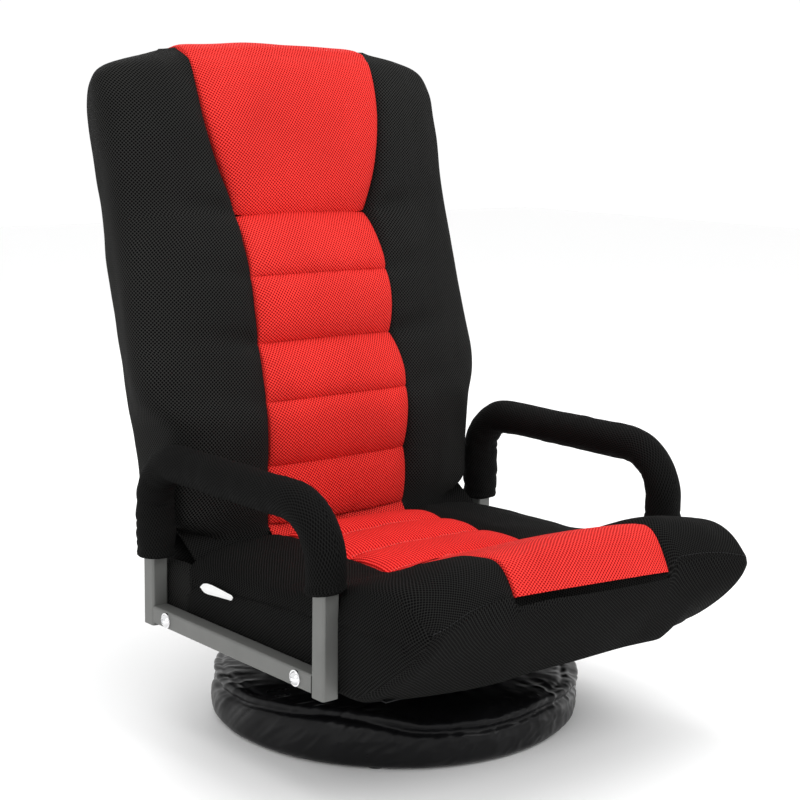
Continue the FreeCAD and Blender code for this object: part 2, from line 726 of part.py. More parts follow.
def seat_pockets():
    """What the seat's foam and cover leave room for."""
    ease = POCKET_EASE
    rail = box(RAIL_INNER - ease, RAIL_OUTER + ease, RAIL_FRONT - ease, FAR, 0, RAIL_TOP + ease)
    pockets = [rail, mirrored(rail)]
    inner = RAIL_INNER
    for y in (-CROSS_Y, CROSS_Y):
        half = TUBE / 2 + ease
        pockets.append(box(-inner, inner, y - half, y + half, 0, RAIL_TOP + ease))
    front = RAIL_FRONT - FRONT_TUBE_DIAMETER - FRONT_TUBE_BOW - ease
    webbing_top = RAIL_TOP + FRONT_TUBE_DIAMETER / 2 - TUBE / 2 + WEBBING_THICKNESS + ease
    side = RAIL_OUTER + ease
    pockets.append(box(-side, side, front, CROSS_REACH + ease, 0, webbing_top))
    spacer = SPACER_DIAMETER + 2 * ease
    for y in bolt_places():
        for side in (-1, 1):
            start = Vector(side * RAIL_INNER, y, RAIL_Z)
            pockets.append(cylinder(spacer, start, Vector(side * FAR, y, RAIL_Z)))
    return pockets


def recess(place, channels):
    """The hollow in a cushion that a channelled panel is sewn into."""
    folds, crests = channels
    return channelled(place, folds, crests, PANEL_THICKNESS, PANEL_CROWN, PANEL_EASE, RECESS_RISE)


def panel(place, channels):
    folds, crests = channels
    return channelled(place, folds, crests, PANEL_THICKNESS, PANEL_CROWN)


def seat_cheek():
    """The part of the cover beside each hinge, behind the cushion's rear face."""
    outer = SEAT_HALF_WIDTH + CHEEK_STAND_OUT
    start = SEAT_REAR - CHEEK_OVERLAP
    cheek = box(CHEEK_INNER, outer, start, PIVOT_Y, SEAT_BOTTOM, CHEEK_TOP)
    middle = (CHEEK_INNER + outer) / 2
    rounded = [edge for edge in cheek.Edges if edge.CenterOfMass.isEqual(
        Vector(middle, PIVOT_Y, SEAT_BOTTOM), 0.01) or edge.CenterOfMass.isEqual(
        Vector(middle, PIVOT_Y, CHEEK_TOP), 0.01)]
    return cheek.makeFillet(CHEEK_CORNER, rounded)


def seat_soft_parts():
    nodes["seat_pan_panel"] = panel(seat_point, pan_channels())
    nodes["front_roll_panel"] = panel(seat_point, roll_channels())
    reach = X_AXIS * CHEEK_INNER
    roll = cylinder(2 * (ROLL_RADIUS + ROLL_CLEARANCE), PIVOT - reach, PIVOT + reach)
    pockets = seat_pockets() + [roll, tag_block(PANEL_EASE)]
    pockets.append(recess(seat_point, pan_channels()))
    pockets.append(recess(seat_point, roll_channels()))
    core = seat_body(COVER_WALL + COVER_EASE)
    cheek = seat_cheek().cut(core)
    shell = seat_body(0).cut(seat_body(COVER_WALL)).fuse([cheek, mirrored(cheek)])
    nodes["seat_cover"] = carved(shell, pockets)
    nodes["seat_foam"] = carved(core, pockets)
    nodes["side_tag"] = tag_block(0)


def tag_block(grow):
    """The small sewn tag, let into the side seam by half its thickness."""
    outer = -SEAT_HALF_WIDTH - TAG_STAND_OUT
    reach = TAG_LENGTH / 2 + grow
    rise = TAG_HEIGHT / 2 + grow
    inner = outer + TAG_THICKNESS + 2 * grow
    return box(outer - TAG_THICKNESS, inner, TAG_CENTRE_Y - reach, TAG_CENTRE_Y + reach,
               TAG_CENTRE_Z - rise, TAG_CENTRE_Z + rise)


def dust_cover():
    """The thin sheet under the frame, open round the bracket."""
    high = RAIL_BOTTOM - COVER_EASE
    low = high - DUST_COVER_THICKNESS
    front = RAIL_FRONT - FRONT_TUBE_DIAMETER - FRONT_TUBE_BOW
    sheet = box(-RAIL_OUTER, RAIL_OUTER, front, CROSS_REACH, low, high)
    half_x = BRACKET_WIDTH / 2 + BRACKET_FLANGE + BRACKET_CLEARANCE
    half_y = CROSS_REACH + BRACKET_CLEARANCE
    nodes["dust_cover"] = sheet.cut(box(-half_x, half_x, -half_y, half_y, low - 1, high + 1))


def sector_teeth():
    """Angles of the notches, measured at the pivot from +Y towards +Z with the back at rest."""
    steps = range(-FORWARD_STEPS, RECLINE_STEPS + 1)
    return [180.0 + step * TOOTH_PITCH for step in steps]


def in_hinge_plane(y, z):
    return Vector(0, PIVOT_Y + y, PIVOT_Z + z)


def toothed_plate():
    """The back's hinge plate: a notched disc with an arm that runs up into the back tube."""
    start = RAIL_X - SECTOR_THICKNESS / 2
    along = X_AXIS * SECTOR_THICKNESS
    centre = in_hinge_plane(0, 0) + X_AXIS * start
    disc = Part.makeCylinder(SECTOR_RADIUS, SECTOR_THICKNESS, centre, X_AXIS)
    half = SECTOR_ARM_WIDTH / 2
    arm_points = [back_point(start, out, s) for out, s in (
        (BACK_TUBE_N + half, 0), (BACK_TUBE_N + half, SECTOR_ARM_LENGTH),
        (BACK_TUBE_N - half, SECTOR_ARM_LENGTH), (BACK_TUBE_N - half, 0))]
    plate = joined([disc, prism(arm_points, along)])
    for angle in sector_teeth():
        notch = box(start - 1, start + SECTOR_THICKNESS + 1, SECTOR_RADIUS - NOTCH_DEPTH, SECTOR_RADIUS + 5,
                    -NOTCH_WIDTH / 2, NOTCH_WIDTH / 2)
        notch.rotate(ORIGIN, X_AXIS, angle)
        notch.translate(in_hinge_plane(0, 0))
        plate = plate.cut(notch)
    bore = HINGE_PIN + 2 * HINGE_PIN_CLEARANCE
    return plate.cut(cylinder(bore, centre - X_AXIS, centre + along + X_AXIS))


def hinge_housing():
    """Two steel plates welded to the rail's faces, one each side of the toothed plate."""
    plates = []
    for start in (RAIL_INNER - HINGE_PLATE, RAIL_OUTER):
        centre = in_hinge_plane(0, 0) + X_AXIS * start
        disc = Part.makeCylinder(HINGE_RADIUS, HINGE_PLATE, centre, X_AXIS)
        lug = box(start, start + HINGE_PLATE, RAIL_REAR - HINGE_STRAP, PIVOT_Y,
                  RAIL_BOTTOM, RAIL_TOP + HINGE_STRAP_RISE)
        plate = joined([disc, lug])
        for y, z, diameter in ((PIVOT_Y, PIVOT_Z, HINGE_PIN), (PAWL_Y, PAWL_Z, PAWL_PIN)):
            hole = cylinder(diameter, Vector(start - 1, y, z), Vector(start + HINGE_PLATE + 1, y, z))
            plate = plate.cut(hole)
        plates.append(plate)
    return Part.makeCompound(plates)


def headed_pin(diameter, y, z, neck):
    """A riveted pin across both housing plates, with a head on each outer face."""
    inner = RAIL_INNER - HINGE_PLATE
    outer = RAIL_OUTER + HINGE_PLATE
    shank = cylinder(diameter, Vector(inner, y, z), Vector(outer, y, z))
    head = diameter + PIN_HEAD_EXTRA
    heads = [cylinder(head, Vector(inner - PIN_HEAD_HEIGHT, y, z), Vector(inner, y, z)),
             cylinder(head, Vector(outer, y, z), Vector(outer + PIN_HEAD_HEIGHT, y, z))]
    spacers = []
    for start, end in ((RAIL_INNER, RAIL_X - neck / 2), (RAIL_X + neck / 2, RAIL_OUTER)):
        spacers.append(cylinder(head, Vector(start, y, z), Vector(end, y, z)))
    return joined([shank] + heads + spacers)


def pawl():
    """A short lever hung from its pin, with a tip that drops into the notches."""
    start = RAIL_X - PAWL_THICKNESS / 2
    along = X_AXIS * PAWL_THICKNESS
    hub_centre = Vector(start, PAWL_Y, PAWL_Z)
    hub = Part.makeCylinder(PAWL_HUB / 2, PAWL_THICKNESS, hub_centre, X_AXIS)
    half = PAWL_TIP_WIDTH / 2
    tip_z = PIVOT_Z
    lever = [(-PAWL_HUB / 2, PAWL_Z), (-PAWL_HUB / 2, tip_z - half), (0, tip_z - half), (0, tip_z + half),
             (-PAWL_RELIEF, tip_z + half + 1), (-PAWL_RELIEF, tip_z + half + PAWL_SHOULDER), (0, PAWL_Z)]
    body = prism([Vector(start, PAWL_Y + y, z) for y, z in lever], along)
    whole = joined([hub, body])
    bore = PAWL_PIN + 2 * HINGE_PIN_CLEARANCE
    return whole.cut(cylinder(bore, hub_centre - X_AXIS, hub_centre + along + X_AXIS))


def pawl_spring():
    """A leaf on the rail's end that presses the pawl towards the notches."""
    y = PAWL_Y - PAWL_HUB / 2 - SPRING_GAP
    low = PAWL_Z - SPRING_LENGTH
    leaf = box(RAIL_X - PAWL_THICKNESS / 2, RAIL_X + PAWL_THICKNESS / 2, y - SPRING_LEAF, y, low, PAWL_Z)
    foot = box(RAIL_X - PAWL_THICKNESS / 2, RAIL_OUTER, y - SPRING_LEAF, y, low - SPRING_FOOT, low)
    return leaf.fuse(foot).removeSplitter()


def hinges():
    housing = hinge_housing()
    plate = toothed_plate()
    for name, side in SIDES:
        nodes["hinge_housing_" + name] = on_side(housing, side)
        nodes["toothed_plate_" + name] = on_side(plate, side)
        nodes["pawl_" + name] = on_side(pawl(), side)
    plain = SECTOR_THICKNESS + 2 * PANEL_EASE
    nodes["hinge_pins"] = pair(headed_pin(HINGE_PIN, PIVOT_Y, PIVOT_Z, plain))
    nodes["pawl_pins"] = pair(headed_pin(PAWL_PIN, PAWL_Y, PAWL_Z, PAWL_THICKNESS + 2 * PANEL_EASE))
    nodes["pawl_springs"] = pair(pawl_spring())


def back_tube(diameter, bore=0.0):
    corners = [(-RAIL_X, BACK_TUBE_START), (-RAIL_X, BACK_TUBE_TOP),
               (RAIL_X, BACK_TUBE_TOP), (RAIL_X, BACK_TUBE_START)]
    points = [back_point(x, BACK_TUBE_N, s) for x, s in corners]
    return round_tube(bent_path(points, BACK_TUBE_BEND), diameter, bore)


def back_frame():
    """The bent tube, slotted at its feet over the toothed plates, and its cross bars and straps."""
    tube = back_tube(BACK_TUBE, BACK_TUBE - 2 * TUBE_WALL)
    half = SECTOR_THICKNESS / 2 + HINGE_PIN_CLEARANCE
    end = SECTOR_ARM_LENGTH + HINGE_PIN_CLEARANCE
    for side in (-1, 1):
        x0 = side * RAIL_X - half
        wide = BACK_TUBE
        slot = prism([back_point(x0, BACK_TUBE_N + wide, 0), back_point(x0, BACK_TUBE_N + wide, end),
                      back_point(x0, BACK_TUBE_N - wide, end), back_point(x0, BACK_TUBE_N - wide, 0)],
                     X_AXIS * 2 * half)
        tube = tube.cut(slot)
    nodes["back_frame_tube"] = tube
    bars = []
    straps = []
    reach = RAIL_X - BACK_TUBE / 2
    for share in BACK_BARS:
        s = share * BACK_TOP
        ends = back_point(-reach, BACK_TUBE_N, s), back_point(reach, BACK_TUBE_N, s)
        bore = cylinder(BACK_BAR_DIAMETER - 2 * BACK_BAR_WALL, *ends)
        bars.append(cylinder(BACK_BAR_DIAMETER, *ends).cut(bore))
    for share in BACK_STRAPS:
        straps.append(strap(share * BACK_TOP, 0))
    nodes["back_cross_bars"] = Part.makeCompound(bars)
    nodes["back_webbing"] = Part.makeCompound(straps)


def strap(s, grow):
    near = BACK_TUBE_N + BACK_TUBE / 2 - grow
    far = near + WEBBING_THICKNESS + 2 * grow
    half = BACK_STRAP_WIDTH / 2 + grow
    x = RAIL_X + grow
    corners = [(near, s - half), (near, s + half), (far, s + half), (far, s - half)]
    return prism([back_point(-x, out, along) for out, along in corners], X_AXIS * 2 * x)


def back_roll(inset):
    """The rounded lower end of the back cushion, centred on the hinge line."""
    x = HINGE_POCKET_INNER - inset
    drum = cylinder(2 * (ROLL_RADIUS - inset), PIVOT - X_AXIS * x, PIVOT + X_AXIS * x)
    sweep = math.radians(ROLL_SWEEP)
    far = 3 * ROLL_RADIUS
    top = ROLL_RISE - inset
    low = inset / math.cos(sweep)
    keep = [(0, top), (far, top), (far, low - far * math.tan(sweep)), (0, low)]
    wedge = prism([back_point(-x, out, s) for out, s in keep], X_AXIS * 2 * x)
    return drum.common(wedge)


def back_body(inset):
    stations = back_stations()
    places = drawn_in(stations, inset, True, True)
    wires = []
    for at, (_, rear_half, front_half, rear, edge, wing) in zip(places, stations):
        wires.append(winged_section(
            at, rear_half - inset, front_half - inset, rear + inset, edge - inset, wing - inset))
    return Part.makeLoft(wires, True, False)


def back_pockets():
    ease = POCKET_EASE
    pockets = [back_tube(BACK_TUBE + 2 * ease)]
    reach = RAIL_X
    for share in BACK_BARS:
        s = share * BACK_TOP
        pockets.append(cylinder(BACK_BAR_DIAMETER + 2 * ease, back_point(-reach, BACK_TUBE_N, s),
                                back_point(reach, BACK_TUBE_N, s)))
    for share in BACK_STRAPS:
        pockets.append(strap(share * BACK_TOP, ease))
    for side in (-1, 1):
        start = PIVOT + X_AXIS * side * HINGE_POCKET_INNER
        pockets.append(cylinder(2 * HINGE_POCKET, start, PIVOT + X_AXIS * side * FAR))
        arm = SECTOR_ARM_WIDTH / 2 + ease
        x0 = side * RAIL_X - SECTOR_THICKNESS / 2 - ease
        ends = [(BACK_TUBE_N + arm, 0), (BACK_TUBE_N + arm, SECTOR_ARM_LENGTH + ease),
                (BACK_TUBE_N - arm, SECTOR_ARM_LENGTH + ease), (BACK_TUBE_N - arm, 0)]
        corners = [back_point(x0, out, s) for out, s in ends]
        pockets.append(prism(corners, X_AXIS * (SECTOR_THICKNESS + 2 * ease)))
    return pockets


def back_soft_parts():
    nodes["lumbar_panel"] = panel(back_point, lumbar_channels())
    nodes["headrest_panel"] = panel(back_point, headrest_channels())
    pockets = back_pockets()
    pockets.append(recess(back_point, lumbar_channels()))
    pockets.append(recess(back_point, headrest_channels()))
    outer = back_body(0).fuse(back_roll(0))
    inner = back_body(COVER_WALL).fuse(back_roll(COVER_WALL))
    nodes["back_cover"] = carved(outer.cut(inner), pockets)
    inset = COVER_WALL + COVER_EASE
    nodes["back_foam"] = carved(back_body(inset).fuse(back_roll(inset)), pockets)


def arm_path(front_end, rear_end):
    points = [Vector(ARM_X, ARM_REAR, rear_end), Vector(ARM_X, ARM_REAR, ARM_TOP),
              Vector(ARM_X, ARM_FRONT, ARM_TOP), Vector(ARM_X, ARM_FRONT, front_end)]
    return bent_path(points, ARM_BEND)


def arm_hoop(size, corner, path):
    start = path.Edges[0].valueAt(path.Edges[0].FirstParameter)
    return swept(rounded_square(size, corner, start, X_AXIS, Y_AXIS), path)


def arms():
    path = arm_path(ARM_BOTTOM, ARM_BOTTOM)
    tube_bore = arm_hoop(TUBE - 2 * TUBE_WALL, TUBE_CORNER - TUBE_WALL, path)
    hoop = arm_hoop(TUBE, TUBE_CORNER, path).cut(tube_bore)
    rail_front = Vector(ARM_X, ARM_FRONT + TUBE / 2, ARM_RAIL_Z)
    rail_rear = Vector(ARM_X, ARM_REAR - TUBE / 2, ARM_RAIL_Z)
    rail = square_tube(rail_front, rail_rear, X_AXIS, Z_AXIS)
    bore = BOLT_DIAMETER + 2 * BOLT_CLEARANCE
    for y in bolt_places():
        rail = rail.cut(cylinder(bore, Vector(ARM_INNER - 1, y, RAIL_Z), Vector(ARM_OUTER + 1, y, RAIL_Z)))
    grip_path = arm_path(SLEEVE_FRONT_END, SLEEVE_REAR_END)
    grip = round_tube(grip_path, GRIP_DIAMETER)
    room = arm_hoop(TUBE + 2 * GRIP_EASE, TUBE_CORNER, grip_path)
    sleeve = round_tube(grip_path, GRIP_DIAMETER + 2 * SLEEVE_WALL, GRIP_DIAMETER)
    for name, side in SIDES:
        nodes["arm_hoop_" + name] = on_side(hoop, side)
        nodes["arm_rail_" + name] = on_side(rail, side)
        nodes["arm_grip_" + name] = on_side(grip.cut(room), side)
        nodes["arm_sleeve_" + name] = on_side(sleeve, side)


def hexagon(flats, x0, x1, y, z):
    radius = flats / math.sqrt(3)
    corners = []
    for index in range(6):
        angle = math.pi / 3 * index
        corners.append(Vector(x0, y + radius * math.cos(angle), z + radius * math.sin(angle)))
    return prism(corners, X_AXIS * (x1 - x0))


def domed_bolt(y):
    """A socket bolt from outside the arm rail into the nut welded in the seat rail."""
    face = ARM_OUTER + WASHER_THICKNESS
    end = RAIL_OUTER - TUBE_WALL - NUT_HEIGHT - BOLT_OVERRUN
    top = face + BOLT_HEAD_HEIGHT
    shank = cylinder(BOLT_DIAMETER, Vector(end, y, RAIL_Z), Vector(face, y, RAIL_Z))
    half = BOLT_HEAD / 2
    radius = (half ** 2 + BOLT_HEAD_HEIGHT ** 2) / (2 * BOLT_HEAD_HEIGHT)
    ball = Part.makeSphere(radius, Vector(top - radius, y, RAIL_Z))
    head = ball.common(cylinder(BOLT_HEAD, Vector(face, y, RAIL_Z), Vector(top, y, RAIL_Z)))
    socket = hexagon(BOLT_SOCKET, top - BOLT_SOCKET_DEPTH, top + 1, y, RAIL_Z)
    return joined([shank, head]).cut(socket)


def ring_piece(outer, inner, x0, x1, y):
    ends = Vector(x0, y, RAIL_Z), Vector(x1, y, RAIL_Z)
    return cylinder(outer, *ends).cut(cylinder(inner, *ends))


def arm_fasteners():
    bore = BOLT_DIAMETER + 2 * BOLT_CLEARANCE
    groups = {"arm_bolts": [], "arm_washers": [], "arm_spacers": [], "weld_nuts": []}
    nut_outer = RAIL_OUTER - TUBE_WALL
    for y in bolt_places():
        groups["arm_bolts"].append(domed_bolt(y))
        groups["arm_washers"].append(
            ring_piece(WASHER_DIAMETER, bore, ARM_OUTER, ARM_OUTER + WASHER_THICKNESS, y))
        groups["arm_spacers"].append(ring_piece(SPACER_DIAMETER, bore, RAIL_OUTER, ARM_INNER, y))
        nut = hexagon(NUT_FLATS, nut_outer - NUT_HEIGHT, nut_outer, y, RAIL_Z)
        hole = cylinder(
            BOLT_DIAMETER, Vector(nut_outer - NUT_HEIGHT - 1, y, RAIL_Z), Vector(nut_outer + 1, y, RAIL_Z))
        groups["weld_nuts"].append(nut.cut(hole))
    for name, pieces in groups.items():
        nodes[name] = Part.makeCompound(pieces + [mirrored(piece) for piece in pieces])


def main():
    for make in (base_ring, base_feet, base_spokes, swivel_bearing, base_skirt, seat_frame, seat_bracket,
                 seat_webbing, seat_soft_parts, dust_cover, hinges, back_frame, back_soft_parts, arms,
                 arm_fasteners):
        make()
    os.makedirs("parts", exist_ok=True)
    for name, shape in nodes.items():
        shape.exportStep("parts/" + name + ".step")


main()
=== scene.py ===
import json
import math

import bpy
import numpy as np
from mathutils import Matrix, Vector


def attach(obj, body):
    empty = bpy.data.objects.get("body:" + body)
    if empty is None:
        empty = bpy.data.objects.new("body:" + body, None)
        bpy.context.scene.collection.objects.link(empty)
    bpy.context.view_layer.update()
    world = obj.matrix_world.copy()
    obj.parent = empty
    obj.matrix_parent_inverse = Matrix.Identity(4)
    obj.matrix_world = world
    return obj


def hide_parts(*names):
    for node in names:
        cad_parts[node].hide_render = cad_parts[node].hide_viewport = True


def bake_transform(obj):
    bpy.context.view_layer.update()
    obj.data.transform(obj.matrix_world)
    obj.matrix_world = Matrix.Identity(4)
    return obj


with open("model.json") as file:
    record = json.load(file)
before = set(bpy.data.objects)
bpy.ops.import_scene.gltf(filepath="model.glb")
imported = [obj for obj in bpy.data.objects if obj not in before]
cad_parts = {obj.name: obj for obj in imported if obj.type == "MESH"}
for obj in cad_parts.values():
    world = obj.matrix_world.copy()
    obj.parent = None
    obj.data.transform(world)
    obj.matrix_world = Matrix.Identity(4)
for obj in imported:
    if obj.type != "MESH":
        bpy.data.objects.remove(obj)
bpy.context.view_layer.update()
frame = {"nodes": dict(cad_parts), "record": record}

# Lengths are in millimetres until a mesh is made. The back has its own directions: x across, n out of
# its face and s up its length from the hinge line.
MM = 0.001
PIVOT = np.array([0.0, 150.0, 150.0])
TILT = math.radians(13.9)
ACROSS = np.array([1.0, 0.0, 0.0])
SPINE = np.array([0.0, math.sin(TILT), math.cos(TILT)])
FACING = np.array([0.0, -math.cos(TILT), math.sin(TILT)])

# Back cushion: s, half width at the rear, half width at the front, rear n, front edge n, wing n
BACK = [
    (-48, 158, 154, 20, 25, 30), (-42, 172, 169, 6, 29, 37), (-30, 178, 175, -12, 33, 42),
    (-15, 180, 178, -31, 35, 46), (0, 181, 179, -41, 37, 49), (34, 182, 180, -40, 42, 55),
    (46, 183, 181, -40, 45, 58), (51, 204, 202, -40, 47, 60), (57, 218, 216, -40, 49, 63),
    (80, 220, 219, -38, 52, 74), (110, 220, 220, -38, 60, 84), (150, 220, 221, -37, 72, 95),
    (172, 220, 222, -37, 78, 97), (186, 221, 234, -37, 72, 96), (200, 222, 243, -37, 67, 95),
    (225, 222, 247, -37, 64, 95), (275, 222, 244, -37, 63, 94), (354, 222, 241, -37, 62, 93),
    (440, 222, 238, -37, 61, 86), (500, 223, 241, -36, 61, 87), (550, 224, 241, -34, 60, 84),
    (580, 221, 235, -29, 53, 76), (594, 212, 222, -22, 45, 67), (603, 196, 202, -13, 36, 57),
    (609, 170, 172, -2, 27, 45), (612, 138, 140, 8, 20, 34)]
BACK_SOFT = 7.0
# Tucks that run from the panel's folds into the wings: s and depth
BACK_TUCKS = ((406, 9), (254, 8), (331, 3.5), (185, 3))

# Red panels sewn to the back: folds (s, half width, n) and the crest between each pair
LUMBAR_FOLDS = [(46, 101, 56), (112, 102, 71), (185, 104, 90), (254, 98, 80), (331, 100, 88), (406, 97, 64)]
LUMBAR_CRESTS = [(82, 103, 71), (150, 104, 93), (218, 103, 98), (292, 101, 97), (370, 99, 90)]
HEAD_FOLDS = [(406.8, 97, 64), (592, 131, 72)]
HEAD_CRESTS = [(500, 124, 89)]
HEAD_TOP = [(592, 131, 72), (604, 131, 65), (612, 130, 52), (617, 129, 35), (618, 128, 18)]
FAR_FROM_FOLDS = 30.0

# Seat cushion, from the rear to the nose: y, height at the side edge and at the wing's crest
SEAT_HALF = 231.0
SEAT_LOW = 111.0
SEAT_REAR = 86.0
SEAT_NOSE = -320.0
SIDE_RADIUS = 15.0
SEAT_TOP = [
    (86, 184, 204), (60, 186, 205), (10, 187, 205), (-70, 189, 203.5), (-92, 193, 203), (-105, 197, 203),
    (-118, 201, 204), (-130, 204, 206), (-143, 208, 210), (-155, 211, 214), (-185, 219, 226),
    (-204, 225, 234), (-226, 231, 243.5), (-246, 235, 251), (-263, 238, 255.5), (-275, 238, 257),
    (-284, 237, 256.5), (-296, 231, 251), (-306, 223, 243), (-314, 214, 232), (-320, 206, 219)]
# The front below the perimeter seam, at the middle: y, z
SEAT_FRONT = [(-320, 207), (-316, 192), (-306, 172), (-290, 148), (-273, 126), (-262, 113)]
# The seam along each side (y and z), and the perimeter seam's place in the outline's run of points
SIDE_SEAM = ((-296, 15, 62), (196, 171, 166))
NOSE_SEAM = 160
# A point inside the nose, which its seam is drawn towards: y, z
NOSE_MIDDLE = np.array([-200.0, 190.0])

# Red panels sewn to the seat: folds and crests (y, half width, z), and the line over the nose (y, z)
PAN_FOLDS = [(79, 98, 200), (28, 98, 201), (-39, 99, 198.5), (-112, 104, 199), (-152, 109, 215.5)]
PAN_CRESTS = [(53, 99, 208.5), (-6, 100, 207.5), (-76, 103, 206.5), (-132, 107, 209)]
ROLL_HALF = 111
ROLL = [
    (-152.6, 215.5), (-158, 218), (-168, 222), (-180, 226.5), (-200, 233), (-220, 240), (-240, 247),
    (-258, 252.5), (-272, 256), (-283, 257), (-292, 254), (-300, 247), (-307, 237), (-313, 226),
    (-318, 216), (-320, 211)]
# How much higher the nose stands for each millimetre towards the near side
NOSE_RISE = 0.055

# How a red panel stands: its swell across, the turn of its edges into the seam, the cover under it
PANEL_CROWN = 3.5
PANEL_TURN = 7.0
PANEL_SINK = 9
STITCH_LENGTH = 3.4
STITCH_GAP = 1.5
STITCH_WIDTH = 0.9

# Armrests: where the tube runs, its bends, and the heights where the sleeve ends
ARM_X = 245.0
ARM_TOP = 302.6
ARM_FRONT = -188.0
ARM_REAR = 123.4
REAR_BEND = 50.0
FRONT_BEND = 58.0
SLEEVE_RADIUS = 20.5
SLEEVE_REAR_END = 189
SLEEVE_FRONT_END = 219

# Cover round each hinge. The flap beside it: y, its lower and its upper edge. The hood: x, radius.
FLAP_X = 223
FLAP_HALF = 8.4
FLAP = np.array([(52, 113, 181), (100, 112, 184), (130, 114, 182), (146, 122, 170), (154, 136, 150)], float)
HOOD = np.array([
    (184.5, 24), (184.5, 38), (185.2, 44), (188, 47.6), (193, 48.8), (200, 49.2), (207, 48.8), (211.5, 47),
    (214, 43), (214.5, 37), (214.5, 24)])
CLOTH_THICKNESS = 0.0018

# Cover over the base, from its hem up the wall and in to the hub: radius, z
BASE_COVER = np.array([
    (204, 1.4), (208, 3), (211, 8), (212, 18), (212, 28), (211, 38), (208.5, 47), (203, 54.5), (193, 59),
    (178, 61.5), (155, 64), (130, 67), (105, 71), (84, 75.5), (70, 79.5), (64, 82)])

# White tag on the near side: y and z along its lower and its upper edge
TAG_X = -235.6
TAG_LOW = ((-15.5, -12, 34, 40, 44, 46.4), (172.3, 168.6, 164.9, 165.4, 167.0, 169.6))
TAG_HIGH = ((-15.5, -13, 26, 34, 41, 44, 46.4), (172.6, 174.6, 177.0, 176.8, 175.2, 173.4, 171.0))


# Curves and surfaces

def together(*columns):
    """Points made of columns that are spread to one shape."""
    return np.stack(np.broadcast_arrays(*columns), axis=-1)


def back_place(x, n, s):
    """Places on the back, at rest."""
    x, n, s = np.broadcast_arrays(x, n, s)
    return PIVOT + x[..., None] * ACROSS + n[..., None] * FACING + s[..., None] * SPINE


def seat_place(x, z, y):
    """Places on the seat, in the order of back_place: across, out of the face, along it."""
    return together(x, y, z).astype(float)


def ramp(value, start, end):
    """0 up to start, 1 beyond end and even between them, where end may be the lower."""
    return np.clip((value - start) / (end - start), 0, 1)


def fading(value, reach):
    """1 at nought, falling evenly to 0 at the reach."""
    return np.clip(1 - value / reach, 0, 1)


def bell(distance, width):
    """1 at nought, falling away smoothly over the width."""
    return np.exp(-(distance / width) ** 2)


def unit(vectors):
    """The vectors at length 1."""
    return vectors / np.linalg.norm(vectors, axis=-1, keepdims=True)


def travelled(line, least=0.0):
    """How far along the line each of its points lies. No step counts for less than the least."""
    steps = np.linalg.norm(np.diff(line, axis=0), axis=1)
    return np.concatenate([[0], np.cumsum(np.maximum(steps, least))])


def eased(table, at, soft):
    """The table's columns at the given places, its corners rounded over about soft."""
    table = np.asarray(table, float)
    if table[0, 0] > table[-1, 0]:
        table = table[::-1]
    total = 0
    offsets = np.linspace(-2, 2, 9)
    weights = np.exp(-0.5 * offsets ** 2)
    for offset, weight in zip(offsets, weights / weights.sum()):
        columns = [np.interp(at + offset * soft, table[:, 0], column) for column in table[:, 1:].T]
        total = total + weight * np.stack(columns, axis=-1)
    return total


def lumps(a, b, size, seed):
    """Smooth random heights from -1 to 1, with hollows about size across."""
    cells = 128
    lattice = np.random.default_rng(seed).uniform(-1, 1, (cells, cells))
    u = a / size + 40.5
    v = b / size + 40.5
    i = np.floor(u).astype(int)
    j = np.floor(v).astype(int)
    p, q = (share * share * (3 - 2 * share) for share in (u - i, v - j))
    low, high = (lattice[i % cells, row % cells] * (1 - p) + lattice[(i + 1) % cells, row % cells] * p
                 for row in (j, j + 1))
    return low * (1 - q) + high * q


def spline(points, steps):
    """A closed smooth curve (cubic B-spline) for each row of points, with so many steps to a point."""
    t = np.arange(steps) / steps
    basis = [(1 - t) ** 3, 3 * t ** 3 - 6 * t ** 2 + 4, -3 * t ** 3 + 3 * t ** 2 + 3 * t + 1, t ** 3]
    total = 0
    for k, part in enumerate(basis):
        total = total + np.roll(points, 1 - k, axis=1)[:, :, None, :] * part[None, None, :, None] / 6
    return total.reshape(points.shape[0], -1, points.shape[2])


def softened(values, passes):
    """A closed run of values (second axis) rounded over by its neighbours."""
    for _ in range(passes):
        values = 0.5 * values + 0.25 * (np.roll(values, 1, axis=1) + np.roll(values, -1, axis=1))
    return values


def make_object(name, vertices, faces, finish, uvs=None):
    """A smooth mesh from vertices in millimetres."""
    mesh = bpy.data.meshes.new(name)
    mesh.from_pydata((np.asarray(vertices) * MM).tolist(), [], faces)
    mesh.polygons.foreach_set("use_smooth", np.ones(len(mesh.polygons), bool))
    if uvs is not None:
        layer = mesh.uv_layers.new(name="weave")
        layer.data.foreach_set("uv", (np.asarray(uvs, np.float32) * MM).ravel())
    mesh.update()
    piece = bpy.data.objects.new(name, mesh)
    bpy.context.collection.objects.link(piece)
    piece.data.materials.append(finish)
    return piece


